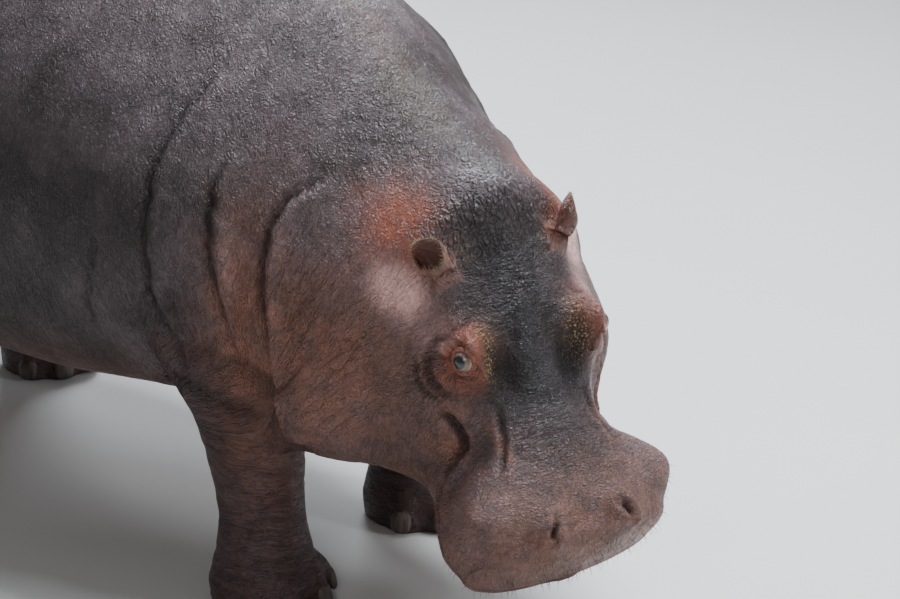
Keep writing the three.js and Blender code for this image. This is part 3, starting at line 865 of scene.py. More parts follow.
@dataclass(frozen=True)
class Leg:
    """One leg, from the hole in the barrel to its flat sole.

    Attributes:
        name: Which leg.
        plan: Fore or hind.
        side: 1 on the left and -1 on the right.
        step: How far it has stepped forward.
        join_rings: Rings that blend from the body into the leg.
        ring_spacing: Between the rings below.
        toe_angles: Degrees round the foot.
        toe_push: How far a toe stands out.
        toe_width: Its half width, as an angle.
        toe_height: Height of its middle.
        toe_reach: Its half height.
        toe_gap: How far the skin falls back between the toes.
        sole_rings: [height, inset] down round the sole's edge.
        sole_shares: Sizes of the rings inside it.
    """

    name: str
    plan: LegPlan
    side: int
    step: float
    join_rings: int = 9
    ring_spacing: float = 0.0115
    toe_angles: tuple[float, ...] = (-60.0, -20.0, 20.0, 60.0)
    toe_push: float = 0.019
    toe_width: float = 0.25
    toe_height: float = 0.034
    toe_reach: float = 0.062
    toe_gap: float = 0.004
    sole_rings: tuple[Two, ...] = ((0.013, 0.001), (0.006, 0.003), (0.0015, 0.006), (0.0, 0.010))
    sole_shares: tuple[float, ...] = (0.8, 0.55, 0.3)

    def place(self) -> Array:
        """Where it stands, on the floor of the model's frame."""
        return np.array([POSE.eyes_ahead + self.plan.forward + self.step, self.side * self.plan.aside, 0.0])

    def section(self, height: Array) -> Array:
        """Middle, half length and half width at heights, smooth through the plan's sections."""
        knots = np.array(self.plan.sections)
        fine = through(knots, np.linspace(0, len(knots) - 1, 400))
        columns = [np.interp(height, fine[:, 0], fine[:, item]) for item in range(1, 5)]
        columns[1] = columns[1] * self.side
        return np.stack(columns, axis=-1)

    def toe_bulge(self, angle: Array, height: Array) -> Array:
        """How far the toes stand out: a bell round each toe's angle times an arch up the foot."""
        lift = (height - self.toe_height) / self.toe_reach
        arch = np.sqrt(np.clip(1 - lift**2, 0, 1))
        away = [np.angle(np.exp(1j * (angle - math.radians(toe)))) for toe in self.toe_angles]
        toes = sum(bell(turn, 0, self.toe_width) for turn in away)
        front = smoothstep(np.cos(angle), -0.1, 0.5)
        return arch * (self.toe_push * toes - self.toe_gap * front * (1 - np.clip(toes, 0, 1)))

    def surface(self, angle: Array, height: Array, inset: float = 0.0) -> Array:
        """The leg's own surface: an ellipse about its middle line at each height, with its toes."""
        values = self.section(height)
        push = self.toe_bulge(angle, height) - inset
        x = values[..., 0] + (values[..., 2] + push) * np.cos(angle)
        y = values[..., 1] + (values[..., 3] + push) * np.sin(angle)
        return np.stack([x, y, height], axis=-1) + self.place()

    def hole(self, grid: Array) -> Hole:
        """The part of the barrel that the leg grows from."""
        middle = self.place() + [0, 0, self.plan.join_height]
        other_side = grid[..., 1] * self.side < 0.05
        away = np.where(other_side, np.inf, np.linalg.norm(grid - middle, axis=-1))
        row, column = np.unravel_index(np.argmin(away), away.shape)
        around = grid[row]
        fits = (around[:, 1] * self.side > self.plan.inner) & (around[:, 2] < self.plan.outer_height)
        columns = np.nonzero(fits)[0]
        rows = np.nonzero(np.abs(grid[:, column, 0] - middle[0]) < self.plan.half_length)[0]
        return Hole(rows.min(), rows.max(), columns.min(), columns.max())

    def rings(self, edge: Array) -> Pair:
        """All rings below the body's edge.

        Down the join, each point slides from the edge onto the leg's own surface. Below it the
        rings are level, down to the sole and in to its middle.

        Args:
            edge: The hole's edge points.

        Returns:
            The rings, and how far down the join each one lies.
        """
        middle = self.section(np.array([self.plan.outer_height * 0.75]))[0]
        offset = edge - self.place()
        across, along = (offset[:, 1] - middle[1]) / middle[3], (offset[:, 0] - middle[0]) / middle[2]
        angle = np.unwrap(np.arctan2(across, along))
        share = np.arange(1, self.join_rings + 1) / self.join_rings
        turned = even_turns(angle, 0.5 * smoothstep(share, 0, 1))
        height = edge[:, 2] + share[:, None] * (self.plan.join_height - edge[:, 2])
        onto = smoothstep(share, 0, 0.75)[:, None, None]
        join = edge * (1 - onto) + self.surface(turned, height) * onto
        lowest = self.plan.sections[0][0]
        count = round((self.plan.join_height - lowest) / self.ring_spacing)
        levels = np.linspace(self.plan.join_height, lowest, count + 1)[1:]
        below = even_turns(angle, 0.5 + 0.5 * np.arange(1, count + 1) / count)
        shank = self.surface(below, levels[:, None] + 0 * below)
        last = below[-1]
        sole = [self.surface(last, np.full(len(last), height), inset) for height, inset in self.sole_rings]
        middle_point = self.place() + np.append(self.section(np.array([lowest]))[0][:2], 0)
        flat = [middle_point + (sole[-1] - middle_point) * size for size in self.sole_shares]
        rings = np.concatenate([join, shank, np.stack(sole + flat)])
        return rings, np.concatenate([share, np.ones(len(rings) - self.join_rings)])


LEGS = (
    Leg("front_left", FORE_LEG, 1, -0.045),
    Leg("front_right", FORE_LEG, -1, 0.070),
    Leg("rear_left", HIND_LEG, 1, 0.045),
    Leg("rear_right", HIND_LEG, -1, -0.045),
)


@dataclass(frozen=True)
class EarRing:
    """One ring of an ear, as a leaning oval.

    Attributes:
        half_width: Half of its width.
        front: How far forward of the ear's middle line its front lies, the way the cup opens.
        back: The same for its back.
        low: Height of its front along the ear.
        high: Height of its back.
    """

    half_width: float
    front: float
    back: float
    low: float
    high: float


@dataclass(frozen=True)
class Ear:
    """A cupped ear on a short root: up its outside, over the rim, and down into the cup.

    Attributes:
        side: 1 on the left and -1 on the right.
        root: Where it grows, in the head's frame.
        points: The way that it stands.
        opens: The way that its cup faces.
        half_hole: Half of the size of the place where it grows.
        outside: Rings up its outside, the last on the rim.
        inside: Rings from the rim down into the cup.
        steps: Rings of points between each two of these.
        pointed: How much slimmer it is towards its tip.
        tip_reach: How far round each oval that slimness spreads.
        roundness: Of the ovals: 1 is an ellipse, and less is squarer.
        ripples: [how many, how deep] of the waves in its outline.
    """

    side: int
    root: Place = (-0.192, 0.148, 0.034)
    points: Place = (-0.74, 0.48, 0.46)
    opens: Place = (0.42, 0.76, 0.24)
    half_hole: float = 0.036
    outside: tuple[EarRing, ...] = (
        EarRing(0.0280, 0.021, -0.021, 0.002, 0.008),
        EarRing(0.0290, 0.019, -0.023, 0.013, 0.030),
        EarRing(0.0370, 0.020, -0.024, 0.022, 0.064),
        EarRing(0.0400, 0.020, -0.015, 0.036, 0.093),
    )
    inside: tuple[EarRing, ...] = (
        EarRing(0.0350, 0.0165, -0.011, 0.0370, 0.0880),
        EarRing(0.0320, 0.0125, -0.018, 0.028, 0.066),
        EarRing(0.0225, 0.0045, -0.017, 0.027, 0.044),
        EarRing(0.0090, -0.002, -0.010, 0.025, 0.031),
    )
    steps: int = 4
    pointed: float = -0.16
    tip_reach: float = 0.7
    roundness: float = 0.8
    ripples: tuple[tuple[int, float], ...] = ((3, 0.02), (7, 0.012))

    def frame(self) -> tuple[Array, Array, Array, Array]:
        """The ear's root on the straight animal, and the ways of its width, opening and height."""
        mirror = np.array([1, self.side, 1])
        height = unit((np.array(self.points) * mirror) @ POSE.axes())
        opening = (np.array(self.opens) * mirror) @ POSE.axes()
        opening = unit(opening - height * (opening @ height))
        return POSE.from_head(np.array(self.root) * mirror), np.cross(height, opening), opening, height

    def oval(self, ring: EarRing, angle: Array) -> Array:
        """Points of one ring: width by the sine, and opening and height by the cosine of the angle."""
        root, width, opening, height = self.frame()
        sine, cosine = (signed_power(way(angle), self.roundness)[:, None] for way in (np.sin, np.cos))
        depth = (ring.front + ring.back) / 2 + (ring.front - ring.back) / 2 * cosine
        rise = (ring.low + ring.high) / 2 + (ring.low - ring.high) / 2 * cosine
        slender = 1 - self.pointed * ring.high / self.outside[-1].high * bell(cosine, -1, self.tip_reach)
        (few, deep), (many, shallow) = self.ripples
        ragged = 1 + deep * np.sin(few * angle[:, None] + self.side) + shallow * np.sin(many * angle[:, None])
        return root + width * ring.half_width * sine * slender * ragged + opening * depth + height * rise

    def rings(self, edge: Array) -> Pair:
        """Smooth curves from the hole's edge through every oval in turn.

        Args:
            edge: The hole's edge points on the straight animal.

        Returns:
            The rings, and a share from 0 at the root to 1 on the rim and 2 in the cup.
        """
        root, width, opening, _ = self.frame()
        offset = edge - root
        angle = np.unwrap(np.arctan2(offset @ width, offset @ opening))
        ovals = self.outside + self.inside
        turned = even_turns(angle, np.minimum(1, np.arange(1, len(ovals) + 1) / 3))
        rings, at = loft([edge] + [self.oval(ring, turn) for ring, turn in zip(ovals, turned)], self.steps)
        outer = len(self.outside)
        return rings, np.where(at <= outer, at / outer, 1 + (at - outer) / len(self.inside))


# The share of the way out along a limb that its last ring has.
UNDER_LID = 1.2
IN_CUP = 2.0


@dataclass(frozen=True)
class Eye:
    """An eyeball and its lids.

    Attributes:
        side: 1 on the left and -1 on the right.
        place: The eyeball's middle, in the head's frame.
        gaze: The way it looks, forward, sideways and up on the straight animal.
        radius: Of the eyeball.
        half_hole: Half of the size of the place that the lids take up.
        lid_thickness: Of the lid's edge over the eyeball.
        lid_swelling: How much the lid stands out behind its edge.
        swelling_at: How far outside the opening, in radians, that is most.
        lid_fold: Depth of the fold where the lids meet the mound.
        fold_at: How far outside the opening it lies, in radians.
        tucks: [radians outside the opening, distance over the eyeball] of the rings that turn in under it.
        corner: Degrees from the gaze out to the lids' corners.
        upper: The same for the upper lid.
        lower: The same for the lower lid.
        lid_rings: Rings of points from the mound to the lids' edge.
        far: Skin beyond this from the eyeball's middle has no part in the mound.
        blur: How widely the mound's points are averaged, in radians.
    """

    side: int
    place: Place = (-0.002, 0.158, -0.006)
    gaze: Place = (0.34, 0.92, 0.16)
    radius: float = 0.0290
    half_hole: float = 0.062
    lid_thickness: float = 0.0030
    lid_swelling: float = 0.0030
    swelling_at: float = 0.15
    lid_fold: float = 0.0040
    fold_at: float = 0.34
    tucks: tuple[Two, ...] = ((-0.02, 0.0016), (-0.03, 0.0003), (0.06, -0.0030), (0.20, -0.0070))
    corner: float = 62.0
    upper: float = 50.0
    lower: float = 54.0
    lid_rings: int = 20
    far: float = 0.110
    blur: float = 0.11

    def frame(self) -> tuple[Array, Array, Array, Array]:
        """Its middle on the straight animal, and the ways forward, upward and out along the gaze."""
        mirror = np.array([1, self.side, 1])
        out = unit(np.array(self.gaze) * mirror)
        upward = unit(np.array([0, 0, 1.0]) - out * out[2])
        return POSE.from_head(np.array(self.place) * mirror), np.cross(upward, out) * self.side, upward, out

    def opening(self, angle: Array) -> Array:
        """Radians from the gaze out to the lids' edge, by the angle round it from the front."""
        sine, cosine = np.sin(angle), np.cos(angle)
        lid = np.where(sine > 0, self.upper, self.lower)
        return np.radians(lid + (self.corner - lid) * np.abs(cosine) ** 2.5)

    def surface(self, ways: Array, grid: Array) -> Array:
        """How far the mound's skin lies from the eyeball's middle, each way.

        The barrel's own points near the eye are averaged, weighted by how nearly they lie the same
        way from the middle.

        Args:
            ways: Unit vectors, of any grid shape by 3.
            grid: The straight barrel.

        Returns:
            The distances.
        """
        middle, _, _, out = self.frame()
        offset = grid.reshape(-1, 3) - middle
        distance = np.linalg.norm(offset, axis=1)
        near = (distance < self.far) & (offset @ out > -0.6 * distance)
        offset, distance = offset[near] / distance[near, None], distance[near]
        weight = np.exp((ways @ offset.T - 1) / self.blur**2)
        return weight @ distance / np.maximum(weight.sum(axis=-1), 1e-12)

    def rings(self, edge: Array, grid: Array) -> Pair:
        """Lids that follow the mound inward, dip in a fold, and hug the eyeball to their edge.

        Each ring lies at polar angles about the gaze, from the hole's edge to the opening. The
        distance from the middle is the mound's own until near the lids, then falls to just over
        the eyeball's radius, with a fold outside the lids' soft swelling.

        Args:
            edge: The hole's edge points on the straight animal.
            grid: The straight barrel.

        Returns:
            The rings, and a share from 0 on the mound to 1 at the lids' edge and more under them.
        """
        middle, forward, upward, out = self.frame()
        offset = edge - middle
        distance = np.linalg.norm(offset, axis=1)
        around = np.unwrap(np.arctan2(offset @ upward, offset @ forward))
        from_gaze = np.arccos(np.clip(offset @ out / distance, -1, 1))
        share = np.arange(1, self.lid_rings + 1) / self.lid_rings
        turned = even_turns(around, share)
        rim = self.opening(turned)
        polar = from_gaze + (rim - from_gaze) * share[:, None] ** 0.8
        polar = np.concatenate([polar, [rim[-1] + step for step, _ in self.tucks]])
        turned = np.concatenate([turned, np.tile(turned[-1], (len(self.tucks), 1))])
        aside = np.cos(turned)[..., None] * forward + np.sin(turned)[..., None] * upward
        ways = np.cos(polar)[..., None] * out + np.sin(polar)[..., None] * aside
        beyond = polar[: self.lid_rings] - rim
        mound = self.surface(ways[: self.lid_rings], grid)
        mound = mound + (distance - mound) * smoothstep(share, 0.3, 0.0)[:, None]
        skin = self.radius + self.lid_thickness
        reach = skin + (mound - skin) * smoothstep(beyond, 0.20, 0.52)
        above = smoothstep(np.sin(turned[: self.lid_rings]), -0.4, 0.4)
        reach = reach + self.lid_swelling * bell(beyond, self.swelling_at, 0.11)
        reach = reach - self.lid_fold * bell(beyond, self.fold_at, 0.07) * (0.5 + 0.5 * above)
        reach = np.concatenate([reach, [np.full(len(edge), self.radius + step) for _, step in self.tucks]])
        progress = np.clip(1 - beyond / (2 * self.fold_at), 0, 1)
        progress = np.concatenate([progress, np.full((len(self.tucks), len(edge)), UNDER_LID)])
        return middle + reach[..., None] * ways, progress


@dataclass(frozen=True)
class Tail:
    """A short tail, thick at its root and flattened towards its tip.

    Attributes:
        root: [forward of the eyes, above the floor].
        sections: [back, down, half width, half thickness].
        tip: Length of its rounded tip.
        bends: How far below the root its rings have turned level.
        steps: Rings of points between each two sections.
        half_hole: Half of the size of the place where it grows.
    """

    root: Two = (-2.478, 1.050)
    sections: tuple[tuple[float, float, float, float], ...] = (
        (0.024, 0.038, 0.042, 0.033),
        (0.052, 0.112, 0.034, 0.025),
        (0.062, 0.205, 0.027, 0.018),
        (0.066, 0.295, 0.026, 0.012),
        (0.068, 0.355, 0.019, 0.009),
    )
    tip: float = 0.010
    bends: float = 0.130
    steps: int = 7
    half_hole: float = 0.058

    def place(self) -> Array:
        """Where it grows, on the straight animal."""
        return np.array([self.root[0], 0.0, self.root[1]])

    def rings(self, edge: Array) -> Pair:
        """Ovals about the tail's middle line, turning from upright at the root to level below it.

        Args:
            edge: The hole's edge points on the straight animal.

        Returns:
            The rings, and a share from 0 at the root to 1 at the tip.
        """
        root = self.place()
        offset = edge - root - [0, 0, -self.sections[0][1]]
        angle = np.unwrap(np.arctan2(-offset[:, 1], offset[:, 2]))
        turned = even_turns(angle, np.ones(len(self.sections)))
        knots = [edge]
        for (back, down, half_width, half_depth), turn in zip(self.sections, turned):
            lean = math.pi / 2 * (1 - min(1, down / self.bends))
            thick, wide = half_depth * np.cos(turn), -half_width * np.sin(turn)
            ring = np.stack([thick * math.cos(lean), wide, thick * math.sin(lean)], axis=-1)
            knots.append(root + [-back, 0, -down] + ring)
        rings, at = loft(knots, self.steps)
        return rings, at / at[-1]

    def end(self) -> Array:
        """The very tip."""
        back, down = self.sections[-1][:2]
        return np.array([self.root[0] - back, 0.0, self.root[1] - down - self.tip])


EARS = (Ear(1), Ear(-1, root=(-0.180, 0.146, 0.028), points=(-0.72, 0.50, 0.44)))
EYES = (Eye(1), Eye(-1))


# ---- The skin's folds and markings ----


class Frame(Enum):
    """Which frame a place is given in: the straight body's or the straight head's."""

    BODY = "body"
    HEAD = "head"


# How many times wider than its crease a fold's roll is.
ROLL_REACH = 3.2


@dataclass(frozen=True)
class Fold:
    """A crease that runs along the skin, with a soft roll on each side.

    Attributes:
        path: Places that it runs through.
        depth: How deep it is.
        width: Its half width.
        roll: How far the skin stands out beside it.
        given: The frame of its places.
        strength: On the left and on the right.
        lead: How much more the skin stands out in front of it than behind.
        fade: Length over which each end dies away.
    """

    path: tuple[Place, ...]
    depth: float
    width: float
    roll: float = 0.0
    given: Frame = Frame.BODY
    strength: Two = (1.0, 1.0)
    lead: float = 0.0
    fade: float = 0.06

    def places(self, side: int) -> Array:
        """Its path on one side of the straight animal: 1 is the left and -1 the right."""
        mirrored = np.array(self.path) * [1, side, 1]
        return POSE.from_head(mirrored) if self.given is Frame.HEAD else mirrored


@dataclass(frozen=True)
class Patch:
    """A soft-edged region of the skin.

    Attributes:
        at: Its middle, with its sideways place as on the left.
        reach: How far it spreads each way.
        strength: On the left and on the right.
        given: The frame of its middle and reach.
    """

    at: Place
    reach: Place
    strength: Two = (1.0, 1.0)
    given: Frame = Frame.BODY


NECK_FOLDS = (
    Fold(  # round the shoulders
        (
            (-0.690, 0.300, 0.520), (-0.700, 0.440, 0.640), (-0.725, 0.480, 0.740),
            (-0.735, 0.480, 0.940), (-0.730, 0.440, 1.070), (-0.720, 0.300, 1.180),
            (-0.705, 0.150, 1.300),
        ),
        depth=0.009, width=0.010, roll=0.010, lead=0.5, fade=0.34,
    ),
    Fold(  # down the side of the neck
        (
            (-0.560, 0.290, 1.110), (-0.600, 0.380, 1.040), (-0.610, 0.420, 0.940),
            (-0.600, 0.410, 0.800), (-0.580, 0.360, 0.650), (-0.560, 0.300, 0.520),
        ),
        depth=0.009, width=0.010, roll=0.015, lead=0.8, fade=0.26, strength=(0.7, 1.0),
    ),
    Fold(  # behind the jowl
        (
            (-0.400, 0.180, 1.040), (-0.450, 0.290, 0.990), (-0.480, 0.345, 0.940),
            (-0.480, 0.380, 0.835), (-0.470, 0.390, 0.725), (-0.455, 0.380, 0.540),
            (-0.440, 0.300, 0.450),
        ),
        depth=0.009, width=0.011, roll=0.021, lead=0.9, fade=0.22, strength=(0.7, 1.0),
    ),
    Fold(  # low on the flank, behind the shoulder
        (
            (-0.830, 0.500, 0.900), (-0.870, 0.520, 0.780), (-0.900, 0.510, 0.660),
            (-0.880, 0.450, 0.570),
        ),
        depth=0.006, width=0.012, roll=0.004, fade=0.14,
    ),
)
LEG_FOLDS = (
    Fold(  # where the flank hangs over the foreleg
        (
            (-0.850, 0.330, 0.490), (-0.780, 0.400, 0.500), (-0.680, 0.420, 0.500),
            (-0.580, 0.360, 0.500), (-0.540, 0.280, 0.480),
        ),
        depth=0.014, width=0.013, roll=0.012, fade=0.06,
    ),
    Fold(  # the same over the hind leg
        ((-2.290, 0.330, 0.540), (-2.180, 0.410, 0.520), (-2.050, 0.420, 0.520), (-1.940, 0.320, 0.500)),
        depth=0.008, width=0.014, roll=0.008, fade=0.10,
    ),
    Fold(  # in front of the haunch
        ((-1.900, 0.480, 0.760), (-1.890, 0.500, 0.640), (-1.920, 0.440, 0.540)),
        depth=0.008, width=0.014, roll=0.008, fade=0.12,
    ),
)
FACE_FOLDS = (
    Fold(  # round the rear and foot of the eye mound
        (
            (-0.058, 0.165, 0.022), (-0.076, 0.192, -0.010), (-0.066, 0.212, -0.048),
            (-0.020, 0.214, -0.082), (0.035, 0.192, -0.090), (0.070, 0.165, -0.080),
        ),
        given=Frame.HEAD, depth=0.009, width=0.010, roll=0.005, fade=0.05,
    ),
    Fold(  # a second one outside it
        (
            (-0.070, 0.222, -0.075), (-0.025, 0.224, -0.108), (0.025, 0.205, -0.115),
            (0.060, 0.180, -0.105),
        ),
        given=Frame.HEAD, depth=0.006, width=0.007, roll=0.003, fade=0.05,
    ),
    Fold(  # down the upper lip's root, outside the bridge
        (
            (0.080, 0.118, -0.045), (0.125, 0.110, -0.062), (0.175, 0.118, -0.078),
            (0.225, 0.140, -0.092), (0.260, 0.165, -0.100),
        ),
        given=Frame.HEAD, depth=0.006, width=0.009, roll=0.006, fade=0.07,
    ),
    Fold(  # a short one inside that
        ((0.165, 0.080, -0.062), (0.195, 0.095, -0.070), (0.225, 0.118, -0.082)),
        given=Frame.HEAD, depth=0.005, width=0.009, roll=0.005, fade=0.05,
    ),
    Fold(  # the mouth, which turns up into the cheek's deep fold
        (
            (0.042, 0.204, -0.122), (0.075, 0.185, -0.128), (0.112, 0.166, -0.140),
            (0.142, 0.162, -0.165), (0.166, 0.180, -0.212), (0.205, 0.205, -0.256),
            (0.260, 0.225, -0.266), (0.330, 0.235, -0.262), (0.400, 0.190, -0.262),
            (0.440, 0.090, -0.262), (0.452, 0.000, -0.262),
        ),
        given=Frame.HEAD, depth=0.017, width=0.009, roll=0.009, fade=0.05,
    ),
    Fold(  # nostril slits
        ((0.368, 0.076, -0.060), (0.390, 0.092, -0.062), (0.414, 0.106, -0.074)),
        given=Frame.HEAD, depth=0.018, width=0.008, roll=0.007, fade=0.02,
    ),
    Fold(  # brow furrows that meet on the forehead
        ((0.030, 0.050, -0.005), (-0.030, 0.045, 0.020), (-0.080, 0.030, 0.035), (-0.130, 0.004, 0.047)),
        given=Frame.HEAD, depth=0.007, width=0.013, fade=0.05,
    ),
    Fold(  # above the eye mound, towards the ear
        ((-0.100, 0.130, 0.035), (-0.085, 0.160, 0.020), (-0.095, 0.190, -0.010)),
        given=Frame.HEAD, depth=0.005, width=0.010, roll=0.003, fade=0.04,
    ),
)
ROSE = (
    Patch((-0.300, 0.330, 0.640), (0.200, 0.200, 0.200), (0.5, 0.9)),  # throat and jowl
    Patch((-0.540, 0.360, 0.620), (0.070, 0.200, 0.240), (0.5, 0.9)),  # between the neck folds
    Patch((0.060, 0.190, -0.090), (0.060, 0.050, 0.030), (0.5, 0.5), Frame.HEAD),
    Patch((0.130, 0.200, -0.180), (0.050, 0.050, 0.050), (0.9, 0.9), Frame.HEAD),  # mouth's corner
    Patch((0.190, 0.120, -0.080), (0.060, 0.014, 0.030), (0.8, 0.8), Frame.HEAD),  # lip's root
    Patch((0.380, 0.120, -0.240), (0.120, 0.150, 0.040), (0.5, 0.5), Frame.HEAD),  # lips
)
RUST = (
    Patch((-0.330, 0.185, -0.020), (0.090, 0.065, 0.085), (0.6, 1.0), Frame.HEAD),  # behind the ear
    Patch((-0.004, 0.152, -0.008), (0.056, 0.070, 0.056), (1.8, 1.8), Frame.HEAD),  # eye mound
    Patch((-0.230, 0.180, 0.000), (0.040, 0.050, 0.050), (0.7, 0.4), Frame.HEAD),  # ear's root
)
# Dark skin on the brow, forehead, crown and bridge; painted shade in the brow hollows and on the flank.
DARK_AND_SHADE = (
    # Dark skin in the brow hollows, deepened with painted shade.
    Patch((0.046, 0.080, -0.024), (0.064, 0.040, 0.052), (2.6, 2.6), Frame.HEAD),  # brow hollows
    Patch((-0.020, 0.000, 0.010), (0.095, 0.095, 0.050), (1.8, 1.8), Frame.HEAD),  # brow
    Patch((-0.150, 0.000, 0.050), (0.070, 0.100, 0.050), (1.0, 1.0), Frame.HEAD),  # forehead
    Patch((-0.250, 0.000, 0.080), (0.070, 0.110, 0.070), (0.7, 0.7), Frame.HEAD),  # crown
    Patch((0.190, 0.000, -0.060), (0.080, 0.110, 0.060), (0.35, 0.35), Frame.HEAD),  # muzzle's root
    Patch((0.080, 0.000, -0.020), (0.050, 0.070, 0.050), (0.6, 0.6), Frame.HEAD),  # bridge
    # Painted shade on the flank.
    Patch((-1.550, 0.560, 0.780), (0.600, 0.200, 0.300), (0.5, 0.6)),  # flank
)
DAMP = (
    Patch((-0.450, 0.060, 1.150), (0.300, 0.240, 0.200), (1.0, 1.0)),  # nape
    Patch((0.160, 0.060, -0.060), (0.080, 0.080, 0.060), (0.8, 0.8), Frame.HEAD),  # bridge
    Patch((-0.200, 0.000, 0.070), (0.120, 0.150, 0.080), (1.4, 1.4), Frame.HEAD),  # crown
)
WARTS = (
    Patch((-0.250, 0.000, 0.080), (0.075, 0.120, 0.070), (1.4, 1.4), Frame.HEAD),  # crown
    Patch((-0.360, 0.000, 0.150), (0.100, 0.060, 0.100), (0.8, 0.8), Frame.HEAD),  # nape
    Patch((-0.210, 0.110, 0.045), (0.050, 0.045, 0.050), (0.6, 0.6), Frame.HEAD),  # by the ears
)
LINES = (
    Patch((-0.165, 0.000, 0.050), (0.055, 0.140, 0.060), (1.0, 1.0), Frame.HEAD),  # forehead
    Patch((0.190, 0.000, -0.050), (0.075, 0.085, 0.050), (0.8, 0.8), Frame.HEAD),  # bridge
    Patch((-0.070, 0.090, 0.030), (0.050, 0.050, 0.040), (0.5, 0.5), Frame.HEAD),  # brow
    Patch((-0.020, 0.215, -0.080), (0.060, 0.050, 0.050), (0.5, 0.5), Frame.HEAD),  # below the eye
)
PLEATS = (
    Patch((-0.340, 0.330, 0.780), (0.130, 0.150, 0.130), (0.8, 1.0)),  # jowl
    Patch((-0.300, 0.330, 0.560), (0.150, 0.150, 0.120), (0.5, 0.6)),  # its foot
)
PALE_AND_HIGHLIGHT = (
    # Pink skin below the ear, brightened into a painted wet highlight.
    Patch((-0.205, 0.220, -0.062), (0.042, 0.054, 0.030), (2.6, 3.6), Frame.HEAD),  # below the ear
    Patch((-0.090, 0.205, -0.030), (0.050, 0.040, 0.040), (0.4, 0.4), Frame.HEAD),
)
DUST = (
    Patch((0.004, 0.112, 0.012), (0.056, 0.018, 0.044), (1.6, 1.6), Frame.HEAD),  # eye mound's rim
    Patch((-0.520, 0.000, 1.200), (0.260, 0.050, 0.200), (0.3, 0.3)),  # nape
    Patch((-0.200, 0.110, 0.040), (0.030, 0.020, 0.030), (0.6, 0.6), Frame.HEAD),
)


@dataclass(frozen=True)
class Furrow:
    """Wrinkles along the zero lines of a noise that is stretched round the body.

    Attributes:
        cells: The noise's cells in a metre along the body, round it and sideways.
        seed: Which noise.
        layers: How many layers it has.
        width: Of the wrinkles, in the noise's own values.
        depth: How deep they are.
        painted_shade: How strongly painted shade darkens their middles.
    """

    cells: Place
    seed: int
    layers: int
    width: float
    depth: float
    painted_shade: float

    def lines(self, place: Array) -> Array:
        """1 along the wrinkles, falling to 0 beside them."""
        return furrows(layered_noise(place * self.cells, self.seed, self.layers), self.width)


# The last number of each is how strongly painted shade darkens its furrows.
WIDE = Furrow((24, 4.5, 4.5), 11, 2, 0.10, 0.0016, 0.16)
MIDDLING = Furrow((52, 11, 11), 17, 2, 0.13, 0.0008, 0.12)
ACROSS = Furrow((48, 9, 9), 31, 1, 0.25, 0.0040, 0.60)


def distance_to_path(points: Array, path: Array) -> Pair:
    """The distance from each point to a line of straight stretches, and how far ahead of it it lies."""
    nearest, ahead = np.full(len(points), np.inf), np.zeros(len(points))
    for start, end in zip(path[:-1], path[1:]):
        way = end - start
        share = np.clip((points - start) @ way / max(way @ way, 1e-12), 0, 1)
        offset = points - start - share[:, None] * way
        away = np.linalg.norm(offset, axis=1)
        ahead = np.where(away < nearest, offset[:, 0], ahead)
        nearest = np.minimum(nearest, away)
    return nearest, ahead


def patch_strength(straight: Array, patches: tuple[Patch, ...]) -> Array:
    """The sum of every patch's bell curve at straight places, kept below 1 by a soft limit."""
    total = np.zeros(len(straight))
    head = POSE.to_head(straight)
    for patch in patches:
        places = head if patch.given is Frame.HEAD else straight
        left, right = patch.strength
        side = right + (left - right) * smoothstep(places[:, 1], -0.02, 0.02)
        mirrored = places * [1, 0, 1] + np.abs(places) * [0, 1, 0]
        away = (((mirrored - patch.at) / patch.reach) ** 2).sum(axis=1)
        total += side * np.exp(-away)
    return 1 - np.exp(-1.6 * total)


# How finely a limb's wrinkles are spaced down it, along the body and sideways.
LIMB_STRETCH = (1.0, 0.4, 0.4)
EAR_STRETCH = (0.3, 0.3, 0.3)


def limb_lay(straight: Array) -> Array:
    """A limb's own distances for the wrinkles: down it, along the body, and sideways."""
    return np.stack([-straight[..., 2], straight[..., 0], straight[..., 1]], axis=-1)


